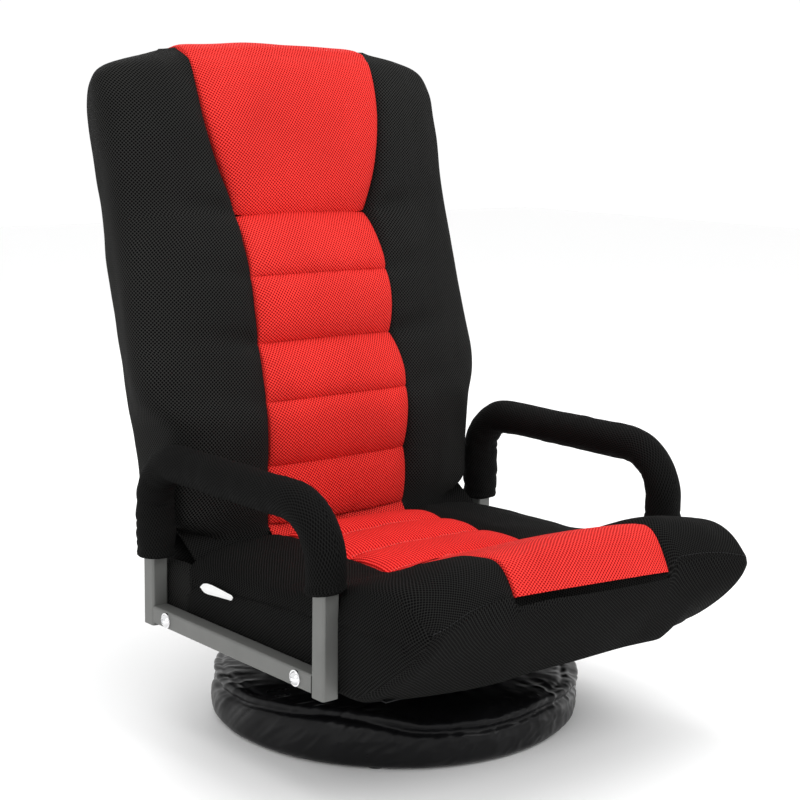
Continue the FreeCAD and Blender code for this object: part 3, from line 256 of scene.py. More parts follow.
def skin(name, points, finish, closed=False, capped=False, sides=()):
    """A smooth surface through rows of points. Its weave coordinates are real lengths.

    A closed skin joins the ends of each row, and a capped one is filled at its first and last rows. The
    rows named as sides are panels cut flat, so their weave isn't drawn together with the rows, and the
    panel between them is cut straight.
    """
    rows, columns = points.shape[:2]
    wrapped = np.concatenate([points, points[:, :1]], axis=1) if closed else points
    around = np.cumsum(np.linalg.norm(np.diff(wrapped, axis=1), axis=2), axis=1)
    around = np.concatenate([np.zeros((rows, 1)), around], axis=1)
    around = around - around[:, around.shape[1] // 2][:, None]
    if sides:
        around[:] = around[rows // 2]
    along = np.cumsum(np.linalg.norm(np.diff(points, axis=0), axis=2).mean(axis=1))
    along = np.concatenate([[0.0], along])
    vertices = points.reshape(-1, 3)
    faces = []
    uvs = []
    span = columns if closed else columns - 1
    for i in range(rows - 1):
        for j in range(span):
            k = (j + 1) % columns
            faces.append((i * columns + j, i * columns + k, (i + 1) * columns + k, (i + 1) * columns + j))
            if i in sides:
                corners = ((i, j), (i, k), (i + 1, k), (i + 1, j))
                uvs += [(points[row, column, 1], points[row, column, 2]) for row, column in corners]
            else:
                uvs += [(around[i, j], along[i]), (around[i, j + 1], along[i]),
                        (around[i + 1, j + 1], along[i + 1]), (around[i + 1, j], along[i + 1])]
    for row in (0, rows - 1) if capped else ():
        centre = len(vertices)
        vertices = np.vstack([vertices, points[row].mean(axis=0)])
        for j in range(span):
            a = row * columns + j
            b = row * columns + (j + 1) % columns
            faces.append((centre, b, a) if row == 0 else (centre, a, b))
            uvs += [(0, along[row]), (around[row, j], along[row]), (around[row, j + 1], along[row])]
    return make_object(name, vertices, faces, finish, uvs)


def dress(piece, body, nodes=()):
    """Gives a piece its body and, where it has them, hides its filling and the solids it stands for."""
    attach(piece, body)
    if nodes:
        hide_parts(*nodes)


# Materials

def material(name, colour, roughness, metallic=0.0, specular=0.5):
    """A plain finish, which the functions below give its pattern and relief."""
    made = bpy.data.materials.new(name)
    made.use_nodes = True
    shader = made.node_tree.nodes["Principled BSDF"]
    shader.inputs["Base Color"].default_value = (*colour, 1)
    shader.inputs["Roughness"].default_value = roughness
    shader.inputs["Metallic"].default_value = metallic
    shader.inputs["Specular IOR Level"].default_value = specular
    return made


def feed(made, value, socket):
    """Sets an input to a value, or joins another node's result to it."""
    if isinstance(value, bpy.types.NodeSocket):
        made.node_tree.links.new(value, socket)
    else:
        socket.default_value = value


def feed_shader(made, name, value):
    """Feeds an input of the finish itself."""
    feed(made, value, made.node_tree.nodes["Principled BSDF"].inputs[name])


def node(made, kind, **values):
    """A shader node with its properties set and its inputs fed, by name with _ for a space."""
    new = made.node_tree.nodes.new(kind)
    for key, value in values.items():
        if hasattr(new, key):
            setattr(new, key, value)
        else:
            feed(made, value, new.inputs[key.replace("_", " ")])
    return new


def maths(made, operation, *values, kind="ShaderNodeMath"):
    """The result of an operation on numbers or other nodes' results."""
    new = node(made, kind, operation=operation)
    for socket, value in zip(new.inputs, values):
        feed(made, value, socket)
    return new.outputs[0]


def mixed(made, factor, first, second):
    """A colour between two, by a factor from 0 to 1."""
    blend = node(made, "ShaderNodeValToRGB", Fac=factor)
    blend.color_ramp.elements[0].color = (*first, 1)
    blend.color_ramp.elements[1].color = (*second, 1)
    return blend.outputs[0]


def darker(colour, share):
    """The colour, dimmed to a share of its light."""
    return tuple(part * share for part in colour)


def cloud(made, scale, detail=2.0):
    """Soft noise over the object, from 0 to 1."""
    place = node(made, "ShaderNodeTexCoord").outputs["Object"]
    return node(made, "ShaderNodeTexNoise", Scale=scale, Detail=detail, Vector=place).outputs["Fac"]


def add_bump(made, height, strength, distance, under=None):
    """Gives the finish a relief, laid over another one where that is named."""
    bump = node(made, "ShaderNodeBump", Strength=strength, Distance=distance, Height=height)
    if under is not None:
        feed(made, under.outputs["Normal"], bump.inputs["Normal"])
    feed_shader(made, "Normal", bump.outputs["Normal"])
    return bump


def knit(made, weave, pitch, stretch, ribs):
    """Relief of an open knit: 1 on its threads, 0 in its holes, whose rows run diagonally, pitch mm apart."""
    turns = math.pi / (pitch * MM)
    turned = node(made, "ShaderNodeMapping", Vector=weave, Rotation=(0, 0, math.radians(38)),
                  Scale=(turns, turns * stretch, turns))
    wander = node(made, "ShaderNodeTexNoise", Scale=30.0, Detail=1.0, Vector=weave)
    bent = maths(made, "MULTIPLY_ADD", wander.outputs["Color"], (2.2, 2.2, 0), turned.outputs[0],
                 kind="ShaderNodeVectorMath")
    wave = maths(made, "SINE", bent, kind="ShaderNodeVectorMath")
    parts = node(made, "ShaderNodeSeparateXYZ", Vector=wave)
    holes = maths(made, "ABSOLUTE", maths(made, "MULTIPLY", parts.outputs[0], parts.outputs[1]))
    if ribs:
        across = node(made, "ShaderNodeSeparateXYZ", Vector=weave).outputs[0]
        lines = maths(made, "SINE", maths(made, "MULTIPLY", across, 2 * math.pi / (ribs * MM)))
        lines = maths(made, "MULTIPLY_ADD", lines, 0.30, 0.30)
        holes = maths(made, "MULTIPLY_ADD", holes, 0.45, lines)
    clear = node(made, "ShaderNodeMapRange", Value=holes, From_Min=0.20, From_Max=0.60)
    return maths(made, "SUBTRACT", 1.0, clear.outputs[0])


def air_mesh(name, thread, hole_shade, pitch, stretch=1.0, specular=0.08, ribs=0.0):
    """Spacer mesh: an open knit with fuzzy yarn, ribbed where ribs gives their distance in mm."""
    made = material(name, thread, 0.85, specular=specular)
    weave = node(made, "ShaderNodeUVMap", uv_map="weave").outputs["UV"]
    relief = knit(made, weave, pitch, stretch, ribs)
    fine = node(made, "ShaderNodeMapping", Vector=weave, Scale=(3200, 1900, 1))
    yarn = node(made, "ShaderNodeTexNoise", Scale=1.0, Detail=1.0, Vector=fine.outputs[0]).outputs["Fac"]
    worn = maths(made, "MULTIPLY_ADD", cloud(made, 9.0), 0.45, 0.62)
    speck = maths(made, "MULTIPLY_ADD", yarn, 0.5, worn)
    shade = node(made, "ShaderNodeMix", data_type="RGBA", blend_type="MULTIPLY")
    # The holes take the darker colour: painted shade down in the knit's holes.
    for place, value in ((0, 1.0), (6, mixed(made, relief, hole_shade, thread)), (7, speck)):
        feed(made, value, shade.inputs[place])
    feed_shader(made, "Base Color", shade.outputs[2])
    add_bump(made, maths(made, "MULTIPLY_ADD", yarn, 0.3, relief), 0.6, 0.0011)
    return made


def painted_metal():
    """Grey paint with a faint mottle and orange peel."""
    made = material("grey_paint", (0.138, 0.140, 0.134), 0.45, metallic=0.3, specular=0.4)
    mottle = mixed(made, cloud(made, 35.0, 3.0), (0.120, 0.122, 0.117), (0.158, 0.160, 0.153))
    feed_shader(made, "Base Color", mottle)
    add_bump(made, cloud(made, 900.0, 1.0), 0.08, 0.0004)
    return made


def metal(name, colour, roughness, grain=60.0):
    """Bare or plated metal."""
    made = material(name, colour, roughness, metallic=1.0)
    feed_shader(made, "Base Color", mixed(made, cloud(made, grain, 4.0), darker(colour, 0.8), colour))
    add_bump(made, cloud(made, grain * 12, 2.0), 0.06, 0.0003)
    return made


def plain_cloth(name, colour, roughness, threads):
    """Close plain weave for tapes, lining and webbing."""
    made = material(name, colour, roughness, specular=0.2)
    place = node(made, "ShaderNodeTexCoord").outputs["Object"]
    wave = node(made, "ShaderNodeTexWave", wave_profile="SIN", Scale=threads, Distortion=0.6, Vector=place)
    wave = wave.outputs["Fac"]
    feed_shader(made, "Base Color", mixed(made, wave, darker(colour, 0.6), colour))
    add_bump(made, wave, 0.3, 0.0003)
    return made


def vinyl():
    """Glossy coated cloth, crumpled and finely grained, with duller patches."""
    made = material("glossy_vinyl", (0.0045, 0.0045, 0.0050), 0.32, specular=0.9)
    feed_shader(made, "IOR", 1.18)
    broad = add_bump(made, cloud(made, 30.0, 2.0), 0.30, 0.0030)
    add_bump(made, cloud(made, 1500.0, 2.0), 0.08, 0.0002, broad)
    rough = node(made, "ShaderNodeMapRange", Value=cloud(made, 22.0, 3.0), To_Min=0.20, To_Max=0.44)
    feed_shader(made, "Roughness", rough.outputs[0])
    return made


def moulded(name, colour, roughness):
    """Foam, rubber and plastic with a fine grain."""
    made = material(name, colour, roughness, specular=0.4)
    add_bump(made, cloud(made, 1800.0, 2.0), 0.12, 0.0003)
    feed_shader(made, "Base Color", mixed(made, cloud(made, 50.0, 3.0), darker(colour, 0.85), colour))
    return made


# Each mesh gets its thread colour and a darker colour for its holes, which is painted shade in them.
BLACK = air_mesh("black_mesh", (0.0215, 0.0215, 0.0207), (0.0003, 0.0003, 0.0003), 3.0, specular=0.05)
# The seat's black mesh is the back's cloth painted darker: painted shade that offsets the extra light its
# upward faces catch.
SHADED_SEAT_BLACK = air_mesh("seat_mesh_painted_shade", (0.0135, 0.0135, 0.0131), (0.0004, 0.0004, 0.0004), 2.8, specular=0.03)
RED = air_mesh("red_mesh", (0.86, 0.046, 0.038), (0.24, 0.001, 0.001), 3.0)
RED_RIB = air_mesh("red_rib", (0.92, 0.050, 0.042), (0.36, 0.002, 0.002), 2.8, ribs=3.9)
SLEEVE = air_mesh("sleeve_knit", (0.0090, 0.0090, 0.0088), (0.0008, 0.0008, 0.0008), 2.3, stretch=0.6,
                  specular=0.05)
VINYL = vinyl()
BLACK_THREAD = plain_cloth("black_thread", (0.02, 0.02, 0.022), 0.6, 900.0)
RED_THREAD = plain_cloth("red_thread", (0.95, 0.14, 0.12), 0.6, 900.0)
SLOT_MATERIALS = {
    "foam": moulded("foam", (0.55, 0.52, 0.42), 0.95),
    "grey_paint": painted_metal(),
    "tube_steel": metal("tube_steel", (0.10, 0.10, 0.105), 0.45),
    "zinc_plate": metal("zinc_plate", (0.62, 0.63, 0.62), 0.35),
    "bright_steel": metal("bright_steel", (0.60, 0.60, 0.60), 0.22),
    "chrome": metal("chrome", (0.86, 0.86, 0.87), 0.12, 120.0),
    "foot_rubber": moulded("foot_rubber", (0.012, 0.012, 0.012), 0.8),
    "cage_plastic": moulded("cage_plastic", (0.7, 0.68, 0.6), 0.5),
    "elastic": plain_cloth("elastic", (0.015, 0.015, 0.016), 0.7, 700.0),
    "lining": plain_cloth("lining", (0.013, 0.013, 0.014), 0.85, 500.0),
    "white_tag": moulded("white_tag", (0.90, 0.90, 0.89), 0.6),
    "glossy_vinyl": VINYL,
    "black_mesh": BLACK,
    "red_mesh": RED,
}


# Red panels and stitches

def channel_line(folds, crests, steps):
    """Rows down a sewn panel: where, half width, height, the height at its side seams and the distance
    to the nearest fold. Each channel swells between its two folds."""
    rows = []
    for (a, wide_a, low_a), (b, wide_b, low_b), (at, wide, high) in zip(folds, folds[1:], crests):
        t = (np.arange(steps + 1) / steps)[: steps + (b == folds[-1][0])]
        t = 0.5 - 0.5 * np.cos(np.pi * t)
        where = a + (b - a) * t
        base = low_a + (low_b - low_a) * t
        lift = high - (low_a + (low_b - low_a) * (at - a) / (b - a))
        swell = np.clip(1 - np.abs(2 * t - 1) ** 2.4, 0, 1) ** 0.72
        half = wide_a + (wide_b - wide_a) * t + (wide - (wide_a + wide_b) / 2) * np.sin(np.pi * t)
        near = np.minimum(np.abs(where - a), np.abs(where - b))
        rows.append(together(where, half, base + lift * swell, base + 0.45 * lift * swell - 2.5, near))
    return np.concatenate(rows)


def panel_skin(name, place, rows, cloth, seed, rise=0.0):
    """A red panel's padded face, puckered at its seams, its sides turned down into them.

    The rise lifts its end at the nose towards the near side, for each millimetre across.
    """
    even = np.linspace(-1, 1, 150)
    a = 0.55 * np.sin(even * np.pi / 2) + 0.45 * even
    where, half, high, seam, near = (rows[:, k][:, None] for k in range(5))
    line = np.column_stack([where[:, 0], high[:, 0]])
    # Which way the padding rises, along the face's own calm line
    distance = travelled(line, 1e-6)
    ahead = unit(np.gradient(eased(np.column_stack([distance, line]), distance, 14), axis=0))
    turn = 1 if line[-1, 0] > line[0, 0] else -1
    out = np.column_stack([-ahead[:, 1], ahead[:, 0]]) * turn
    x = half * a
    side = np.clip(1 - np.abs(a) ** 9, 0, 1) ** 0.5
    lift = (seam - high) * (1 - side) + PANEL_CROWN * (1 - a ** 2)
    # Puckers along the folds and the side seams, and broad unevenness
    lift = lift + 0.9 * lumps(x, 0.35 * where, 11, seed) * bell(near, 11) * side
    lift = lift + 0.7 * lumps(0.4 * x, where, 10, seed + 1) * bell(half - np.abs(x), 10) * side
    lift = lift + 1.2 * lumps(x, where, 58, seed + 2) * side
    lift[:, (0, -1)] -= PANEL_TURN
    height = high + lift * out[:, 1][:, None] + rise * (half - x) * ramp(where, -286, SEAT_NOSE)
    return skin(name, place(x, height, where + lift * out[:, 0][:, None]), cloth)


def stitches(name, line, up, cloth):
    """A row of thread stitches lying along a line, each a short bar whose ends dip into the cloth."""
    distance = travelled(line)
    vertices = []
    faces = []
    sides = 6
    ring = [(math.cos(2 * k * math.pi / sides), math.sin(2 * k * math.pi / sides)) for k in range(sides)]
    for i in range(int(distance[-1] / (STITCH_LENGTH + STITCH_GAP))):
        begin = i * (STITCH_LENGTH + STITCH_GAP)
        places = [np.array([np.interp(begin + share * STITCH_LENGTH, distance, line[:, k]) for k in range(3)])
                  for share in (0.0, 0.2, 0.8, 1.0)]
        along = unit(places[-1] - places[0])
        over = unit(np.array([np.interp(begin, distance, up[:, k]) for k in range(3)]))
        beside = np.cross(along, over)
        start = len(vertices)
        for place, lift, size in zip(places, (-0.5, 0.35, 0.35, -0.5), (0.6, 1.0, 1.0, 0.6)):
            for c, s in ring:
                vertices.append(place + over * STITCH_WIDTH * lift
                                + size * STITCH_WIDTH * 0.5 * (c * beside + s * over))
        for r in range(len(places) - 1):
            for k in range(sides):
                a = start + r * sides + k
                b = start + r * sides + (k + 1) % sides
                faces.append((a, b, b + sides, a + sides))
    return make_object(name, np.array(vertices), faces, cloth)


# Back

def outline(rear, front, low, edge, wing, seam_x, seam, under):
    """A cushion's closed section, for every row at once.

    Each half runs from the underside's middle round the side and over the wing down to the panel's seam.
    """
    middle = 0 * rear
    half = [
        (middle, low), (0.55 * rear, low), (rear - 34, low), (rear - 8, low + 2), (rear + 2, low + 20),
        ((rear + front) / 2 + 3, (low + edge) / 2), (front + 2, edge - 26), (front + 1, edge - 5),
        (front - 12, edge + 9), ((front + seam_x) / 2 + 6, edge + 0.80 * (wing - edge)), (seam_x + 22, wing),
        (seam_x + 7, wing - 3), (seam_x, seam), (seam_x - 3, seam - 0.7 * under), (seam_x - 12, seam - under),
        (middle, seam - under)]
    right = np.stack([np.stack(pair, axis=-1) for pair in half], axis=1)
    left = right[:, -2:0:-1].copy()
    left[..., 0] *= -1
    return spline(np.concatenate([right, left], axis=1), 9)


def back_lines():
    """Rows of the red panels all the way up the back, with the cloth below them."""
    below = [(-60, 100, 40, 40, 0), (-20, 100, 57, 57, 0), (20, 101, 61, 61, 0)]
    lumbar = channel_line(LUMBAR_FOLDS, LUMBAR_CRESTS, 24)
    head = channel_line(HEAD_FOLDS, HEAD_CRESTS, 40)
    top = [(at, half, n, n - 3, 0) for at, half, n in HEAD_TOP[1:-1]]
    line = np.concatenate([below, lumbar, head, top])
    return line[np.argsort(line[:, 0], kind="stable")]


def slump(x, s):
    """The place s up the back, sunk near its top, and more on the near side."""
    drop = 1.5 * ramp(x, 60, -60) + 3.5 * ramp(x, -118, -158)
    return s - drop * ramp(s, 530, 600)


def back_cushion():
    """The black part of the back: rear, sides, wings and the rounded lower end."""
    # Rows lie closer together at both ends, where the outline turns in
    s = np.concatenate([[-48, -47, -45], np.linspace(-42, 580, 209), np.linspace(583, 608, 11),
                        [610, 611.4, 612]])
    rear, front, low, edge, wing = eased(BACK, s, BACK_SOFT).T
    line = back_lines()
    seam_x = np.interp(s, line[:, 0], line[:, 1])
    sewn = ramp(s, 36, 46)
    seam = np.interp(s, line[:, 0], line[:, 3]) * sewn + (wing - 1) * (1 - sewn)
    seam = np.minimum(seam, wing + 2)
    sections = outline(rear, front, low, edge, wing, seam_x, seam, 1 + PANEL_SINK * sewn)
    x = sections[..., 0]
    n = sections[..., 1]
    s = s[:, None]
    reach = np.abs(x)
    beyond = reach - seam_x[:, None]
    wings = ramp(n, 20, 60) * ramp(beyond, 0, 12)
    for at, depth in BACK_TUCKS:
        slant = at + 0.16 * (reach - 100)
        n = n - depth * bell(s - slant, 13) * bell(beyond - 6, 55) * wings
    # The wings' cloth lies uneven and puckers along the panel's seam
    n = n + 2.2 * lumps(x, s, 90, 3) * wings
    n = n + 1.0 * lumps(x + 0.5 * s, 0.5 * s - x, 26, 4) * wings
    pucker = bell(beyond - 5, 12) * wings
    n = n + 1.1 * lumps(0.3 * x, s, 12, 5) * pucker
    # So do the sides and the rear
    sides = ramp(reach, 195, 215)
    x = x + np.sign(x) * sides * (2.0 * lumps(n, s, 80, 6) + 0.8 * lumps(n, s, 30, 7))
    behind = ramp(n, -20, -30)
    n = n + behind * (1.6 * lumps(x, s, 110, 8) + 0.6 * lumps(x, s, 35, 9))
    piece = skin("back_cushion", back_place(x, n, slump(x, s)), BLACK, True, True)
    dress(piece, "back", ("back_cover", "back_foam"))


def back_panels():
    """The red channels of the back and, over the top edge, the red headrest."""
    lumbar = panel_skin("lumbar_pad", back_place, channel_line(LUMBAR_FOLDS, LUMBAR_CRESTS, 26), RED, 21)
    dress(lumbar, "back", ("lumbar_panel",))
    at = np.linspace(0, 1, 22)[1:] * (len(HEAD_TOP) - 1)
    where, half, n = (np.interp(at, range(len(HEAD_TOP)), column) for column in np.array(HEAD_TOP).T)
    top = together(where, half, n, n - 3, FAR_FROM_FOLDS)
    rows = np.concatenate([channel_line(HEAD_FOLDS, HEAD_CRESTS, 60), top])
    pad = panel_skin("headrest_pad", lambda x, n, s: back_place(x, n, slump(x, s)), rows, RED, 31)
    dress(pad, "back", ("headrest_panel",))


# Seat

def roll_line():
    """Rows of the front roll's panel, over the nose and down to the seam at its front."""
    line = np.array(ROLL, float)
    distance = travelled(line)
    end = distance[-1]
    at = np.concatenate([np.linspace(0, 14, 12), np.linspace(15.5, end - 5, 84),
                         np.linspace(end - 4, end, 7)])
    y, z = eased(np.column_stack([distance, line]), at, 2.2).T
    return together(y, ROLL_HALF, z, z - 4.5, np.minimum(at, end - at))


def seat_lines():
    """Half width and side height of the red panels all along the seat."""
    line = np.concatenate([channel_line(PAN_FOLDS, PAN_CRESTS, 20), roll_line()])
    return line[np.argsort(line[:, 0], kind="stable")]


def nose_shift(x, top_share):
    """How far the nose's corners reach ahead of its middle, and the lower edge is drawn back.

    The share is 1 at the nose's upper edge and 0 at its lower one.
    """
    ahead = -13 * ramp(np.abs(x), 105, 215) ** 1.3
    near = 46 * ramp(x, -60, -240) ** 2.2
    far = 20 * ramp(x, 150, 230) ** 1.6
    return ahead * top_share + (near + far) * (1 - top_share)


def nose_flare(y):
    """How far the sides stand out towards the nose."""
    return 5.0 * ramp(y, -150, -240) - 6.0 * ramp(y, -295, -335) ** 2


def seat_top(x, y):
    """Heights over the wings and down into the panel's seam, and 1 where the panel hides the cover."""
    edge, wing = np.moveaxis(eased(SEAT_TOP, y, 5), -1, 0)
    line = seat_lines()
    seam_x = np.interp(y, line[:, 0], line[:, 1])
    seam = np.minimum(np.interp(y, line[:, 0], line[:, 3]), wing + 1)
    beyond = np.abs(x) - seam_x
    z = wing + (edge - wing) * ramp(beyond, 20, SEAT_HALF - seam_x) ** 1.9
    z = z - (wing - seam) * (1 - ramp(beyond, 0, 20)) ** 2.4
    hidden = ramp(-beyond, 0, 2.5)
    z = z - PANEL_SINK * hidden
    wings = ramp(beyond, 0, 14)
    z = z + (1.8 * lumps(x, y, 80, 13) + 0.8 * lumps(x, y, 24, 14)) * wings
    z = z + 1.0 * lumps(0.3 * x, y, 12, 12) * bell(beyond - 5, 12) * wings
    return z, hidden


def seat_front(x, top, hidden):
    """The nose's front (y, z) at each x, from the perimeter seam down to the underside."""
    front = np.array(SEAT_FRONT, float)
    share = np.linspace(0, 1, 44) ** 1.25
    down = eased(np.column_stack([np.linspace(0, 1, len(front)), front]), share, 0.05)
    fade = fading(share, 0.35) ** 1.5
    tilt = NOSE_RISE * np.clip(ROLL_HALF - x, 0, 2 * ROLL_HALF) * fading(np.abs(x + 60), 220)
    height = down[:, 1] + (top + PANEL_SINK * hidden - front[0, 1]) * fade + tilt * (1 - share) ** 2
    # The lower edge sags towards the far side and steps up past the underside's corner
    height = height + (6.5 * ramp(x, 163, 166) * ramp(x, 260, 200)
                       - 2.5 * ramp(x, 110, 155) * ramp(x, 166, 163)) * share ** 3
    bulge = 3.0 * np.sin(np.pi * share) + 1.6 * lumps(x, 120 * share, 60, 17)
    place = down[:, 0] + nose_shift(x, 1 - np.clip(share * 1.1, 0, 1) ** 1.4) - bulge
    return together(place, height)


def seat_shell(x, inset):
    """The seat cushion's closed outline (y, z) at each x, drawn in by the inset towards its side seam."""
    x = x[:, None]
    y = np.concatenate([np.linspace(SEAT_REAR, -300, 150), np.linspace(-302, SEAT_NOSE, 10)])[None, :]
    z, hidden = seat_top(x, y)
    top = together(y + nose_shift(x, 1.0) * ramp(y, -250, SEAT_NOSE), z)
    face = seat_front(x, z[:, -1:], hidden[:, -1:])
    start = face[:, -1:, 0] + 5
    under = together(start + (80 - start) * np.linspace(0, 1, 40), SEAT_LOW)
    up = np.linspace(0, 1, 16)[1:-1]
    rear = together(SEAT_REAR + 2.5 * np.sin(np.pi * up), SEAT_LOW + 3 + (z[:, :1] - SEAT_LOW - 4) * up)
    loop = softened(np.concatenate([top, face, under, rear], axis=1), 3)
    # The seam over the nose draws the cover in, on both sides of the red roll
    ahead = unit(loop[:, NOSE_SEAM + 4] - loop[:, NOSE_SEAM - 4])
    inward = np.stack([-ahead[:, 1], ahead[:, 0]], axis=-1)[:, None]
    seam = loop[:, NOSE_SEAM][:, None]
    inward = inward * np.sign((inward * (NOSE_MIDDLE - seam)).sum(-1, keepdims=True))
    groove = 2.2 * bell(np.linalg.norm(loop - seam, axis=-1), 3.2) * ramp(np.abs(x), 113, 117)
    loop = loop + groove[..., None] * inward
    seam_y = np.clip(loop[..., 0], SIDE_SEAM[0][0], SIDE_SEAM[0][-1])
    aim = together(seam_y, np.interp(seam_y, *SIDE_SEAM)) - loop
    length = np.linalg.norm(aim, axis=-1, keepdims=True)
    return loop + aim * np.minimum(inset[:, None, None] / np.maximum(length, 1e-6), 1), length[..., 0]


def seat_cushion():
    """The black part of the seat: wings, the rounded nose, sides that swell above and below the seam."""
    # Rows across the flat part, closest beside the red panels, then round the edge and down the side
    flat = np.concatenate([np.linspace(0, 88, 9), np.linspace(92, 130, 24),
                           np.linspace(134, SEAT_HALF - SIDE_RADIUS, 22)])
    turn = np.radians(np.linspace(10, 90, 9))
    share = np.linspace(0, 1, 16)[1:]
    x = np.concatenate([flat, SEAT_HALF - SIDE_RADIUS + SIDE_RADIUS * np.sin(turn), SEAT_HALF + 0 * share])
    inset = np.concatenate([0 * flat, SIDE_RADIUS * (1 - np.cos(turn)), SIDE_RADIUS + 75 * share])
    x = np.concatenate([-x[:0:-1], x])
    inset = np.concatenate([inset[:0:-1], inset])
    loop, length = seat_shell(x, inset)
    y = loop[..., 0]
    z = loop[..., 1]
    # The side swells out above and below its seam
    swell = np.clip((inset[:, None] - SIDE_RADIUS) / np.maximum(length - SIDE_RADIUS, 1), 0, 1)
    out = 4.2 * np.sin(np.pi / 2 * swell ** 0.8) - 2.0 * ramp(swell, 0.85, 1) * ramp(y, -215, -155)
    side = ramp(np.abs(x)[:, None], 205, 225)
    out = out + side * (1.5 * lumps(z, y, 70, 15) + 0.7 * lumps(z, y, 22, 16))
    across = x[:, None] + np.sign(x)[:, None] * (out + nose_flare(y) * side)
    points = seat_place(across, z, y)
    panels = [row for row in range(len(x) - 1) if min(inset[row], inset[row + 1]) > 4]
    # The seat's cover takes the darker black mesh: painted shade over the whole seat.
    piece = skin("seat_cushion", points, SHADED_SEAT_BLACK, True, sides=panels)
    for word, rows in (("right", (x > -226) & (x < -114)), ("left", (x > 114) & (x < 226))):
        line = points[rows, NOSE_SEAM - 2]
        thread = stitches("nose_stitches_" + word, line, line - np.array([0, -230.0, 150.0]), BLACK_THREAD)
        dress(thread, "seat")
    dress(piece, "seat", ("seat_cover", "seat_foam"))


def seat_panels():
    """The ribbed red channels of the seat with their rows of stitches, and the red front roll."""
    rows = channel_line(PAN_FOLDS, PAN_CRESTS, 22)
    pan = panel_skin("seat_pan_pad", seat_place, rows, RED_RIB, 41)
    dress(pan, "seat", ("seat_pan_panel",))
    grid = np.array([vertex.co for vertex in pan.data.vertices]).reshape(len(rows), -1, 3) / MM
    for (place, *_), word in zip(PAN_FOLDS[1:], ("rear", "middle", "front")):
        row = int(np.argmin(np.abs(rows[:, 0] - place))) - 2
        line = grid[row, 8:-8] + np.array([0, -0.1, 0.2])
        thread = stitches("pan_stitches_" + word, line, 0 * line + np.array([0, -0.4, 0.9]), RED_THREAD)
        dress(thread, "seat")
    roll = panel_skin("front_roll_pad", seat_place, roll_line(), RED, 51, rise=NOSE_RISE)
    dress(roll, "seat", ("front_roll_panel",))


# Covers round the hinges

def hinge_flaps():
    """The cover beside each hinge: a soft flap that runs back from the seat's side."""
    y = np.linspace(FLAP[0, 0], FLAP[-1, 0], 40)[:, None]
    low, high = (np.interp(y, FLAP[:, 0], edge) for edge in FLAP[:, 1:].T)
    angle = np.linspace(0, 2 * np.pi, 48, endpoint=False)
    across = FLAP_X + FLAP_HALF * np.sign(np.cos(angle)) * np.abs(np.cos(angle)) ** 0.6
    share = 0.5 + 0.5 * np.sign(np.sin(angle)) * np.abs(np.sin(angle)) ** 0.55
    z = low + (high - low) * share
    for side, word in ((-1, "right"), (1, "left")):
        x = side * (across + 0.8 * lumps(z, y, 30, 61))
        piece = skin("hinge_flap_" + word, seat_place(x, z, y), BLACK, True, True)
        dress(piece, "seat")


def hinge_hoods():
    """The round of cover that wraps each hinge, between the seat's flap and the back's lower end."""
    distance = travelled(HOOD)
    at = np.linspace(0, distance[-1], 44)
    across, radius = (column[:, None] for column in eased(np.column_stack([distance, HOOD]), at, 0.8).T)
    turn = np.linspace(0, 2 * np.pi, 96, endpoint=False)[None, :]
    for side, word, seed in ((-1, "right", 111), (1, "left", 121)):
        r = radius + 0.5 * lumps(8 * np.cos(turn) + 0.1 * at[:, None], 8 * np.sin(turn), 3.0, seed)
        points = seat_place(side * across, PIVOT[2] + r * np.sin(turn), PIVOT[1] + r * np.cos(turn))
        # The hoods take the darker black mesh: painted shade.
        piece = skin("hinge_hood_" + word, points, SHADED_SEAT_BLACK, True, True)
        dress(piece, "seat")


def apply_modifiers(piece):
    """Makes the shown mesh the piece's own."""
    bpy.context.view_layer.update()
    shown = piece.evaluated_get(bpy.context.evaluated_depsgraph_get())
    mesh = bpy.data.meshes.new_from_object(shown)
    piece.modifiers.clear()
    piece.data = mesh


def hinge_cloth(name, radius, start, end, reach, cloth, seed, lift=0.0):
    """A strip of cover round the hinge line, about which the back reclines.

    Its angles are measured from +Y towards +Z. The lift moves its middle outwards.
    """
    angle = np.radians(np.linspace(start, end, 30))[:, None]
    x = np.linspace(reach[0], reach[1], 60)[None, :]
    r = radius + 1.2 * lumps(x, angle * 60, 22, seed) + lift * np.sin(
        np.pi * (angle - angle[0]) / (angle[-1] - angle[0]))
    points = together(x, PIVOT[1] + r * np.cos(angle), PIVOT[2] + r * np.sin(angle))
    piece = skin(name, points, cloth)
    thick = piece.modifiers.new("thickness", "SOLIDIFY")
    thick.thickness = CLOTH_THICKNESS
    thick.offset = -1
    apply_modifiers(piece)
    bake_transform(piece)


# Arm sleeves

def arm_line():
    """Points (y, z) along the arm, from the sleeve's end on the rear post to its end on the front one."""
    step = 3.0
    quarter = np.linspace(0, np.pi / 2, 22)[:-1]
    points = [(ARM_REAR, z) for z in np.arange(SLEEVE_REAR_END, ARM_TOP - REAR_BEND, step)]
    points += [(ARM_REAR - REAR_BEND * (1 - math.cos(t)), ARM_TOP - REAR_BEND * (1 - math.sin(t)))
               for t in quarter]
    points += [(y, ARM_TOP) for y in np.arange(ARM_REAR - REAR_BEND, ARM_FRONT + FRONT_BEND, -step)]
    points += [(ARM_FRONT + FRONT_BEND * (1 - math.sin(t)), ARM_TOP - FRONT_BEND * (1 - math.cos(t)))
               for t in quarter]
    points += [(ARM_FRONT, z) for z in np.arange(ARM_TOP - FRONT_BEND, SLEEVE_FRONT_END, -step)]
    return np.array(points + [(ARM_FRONT, SLEEVE_FRONT_END)])


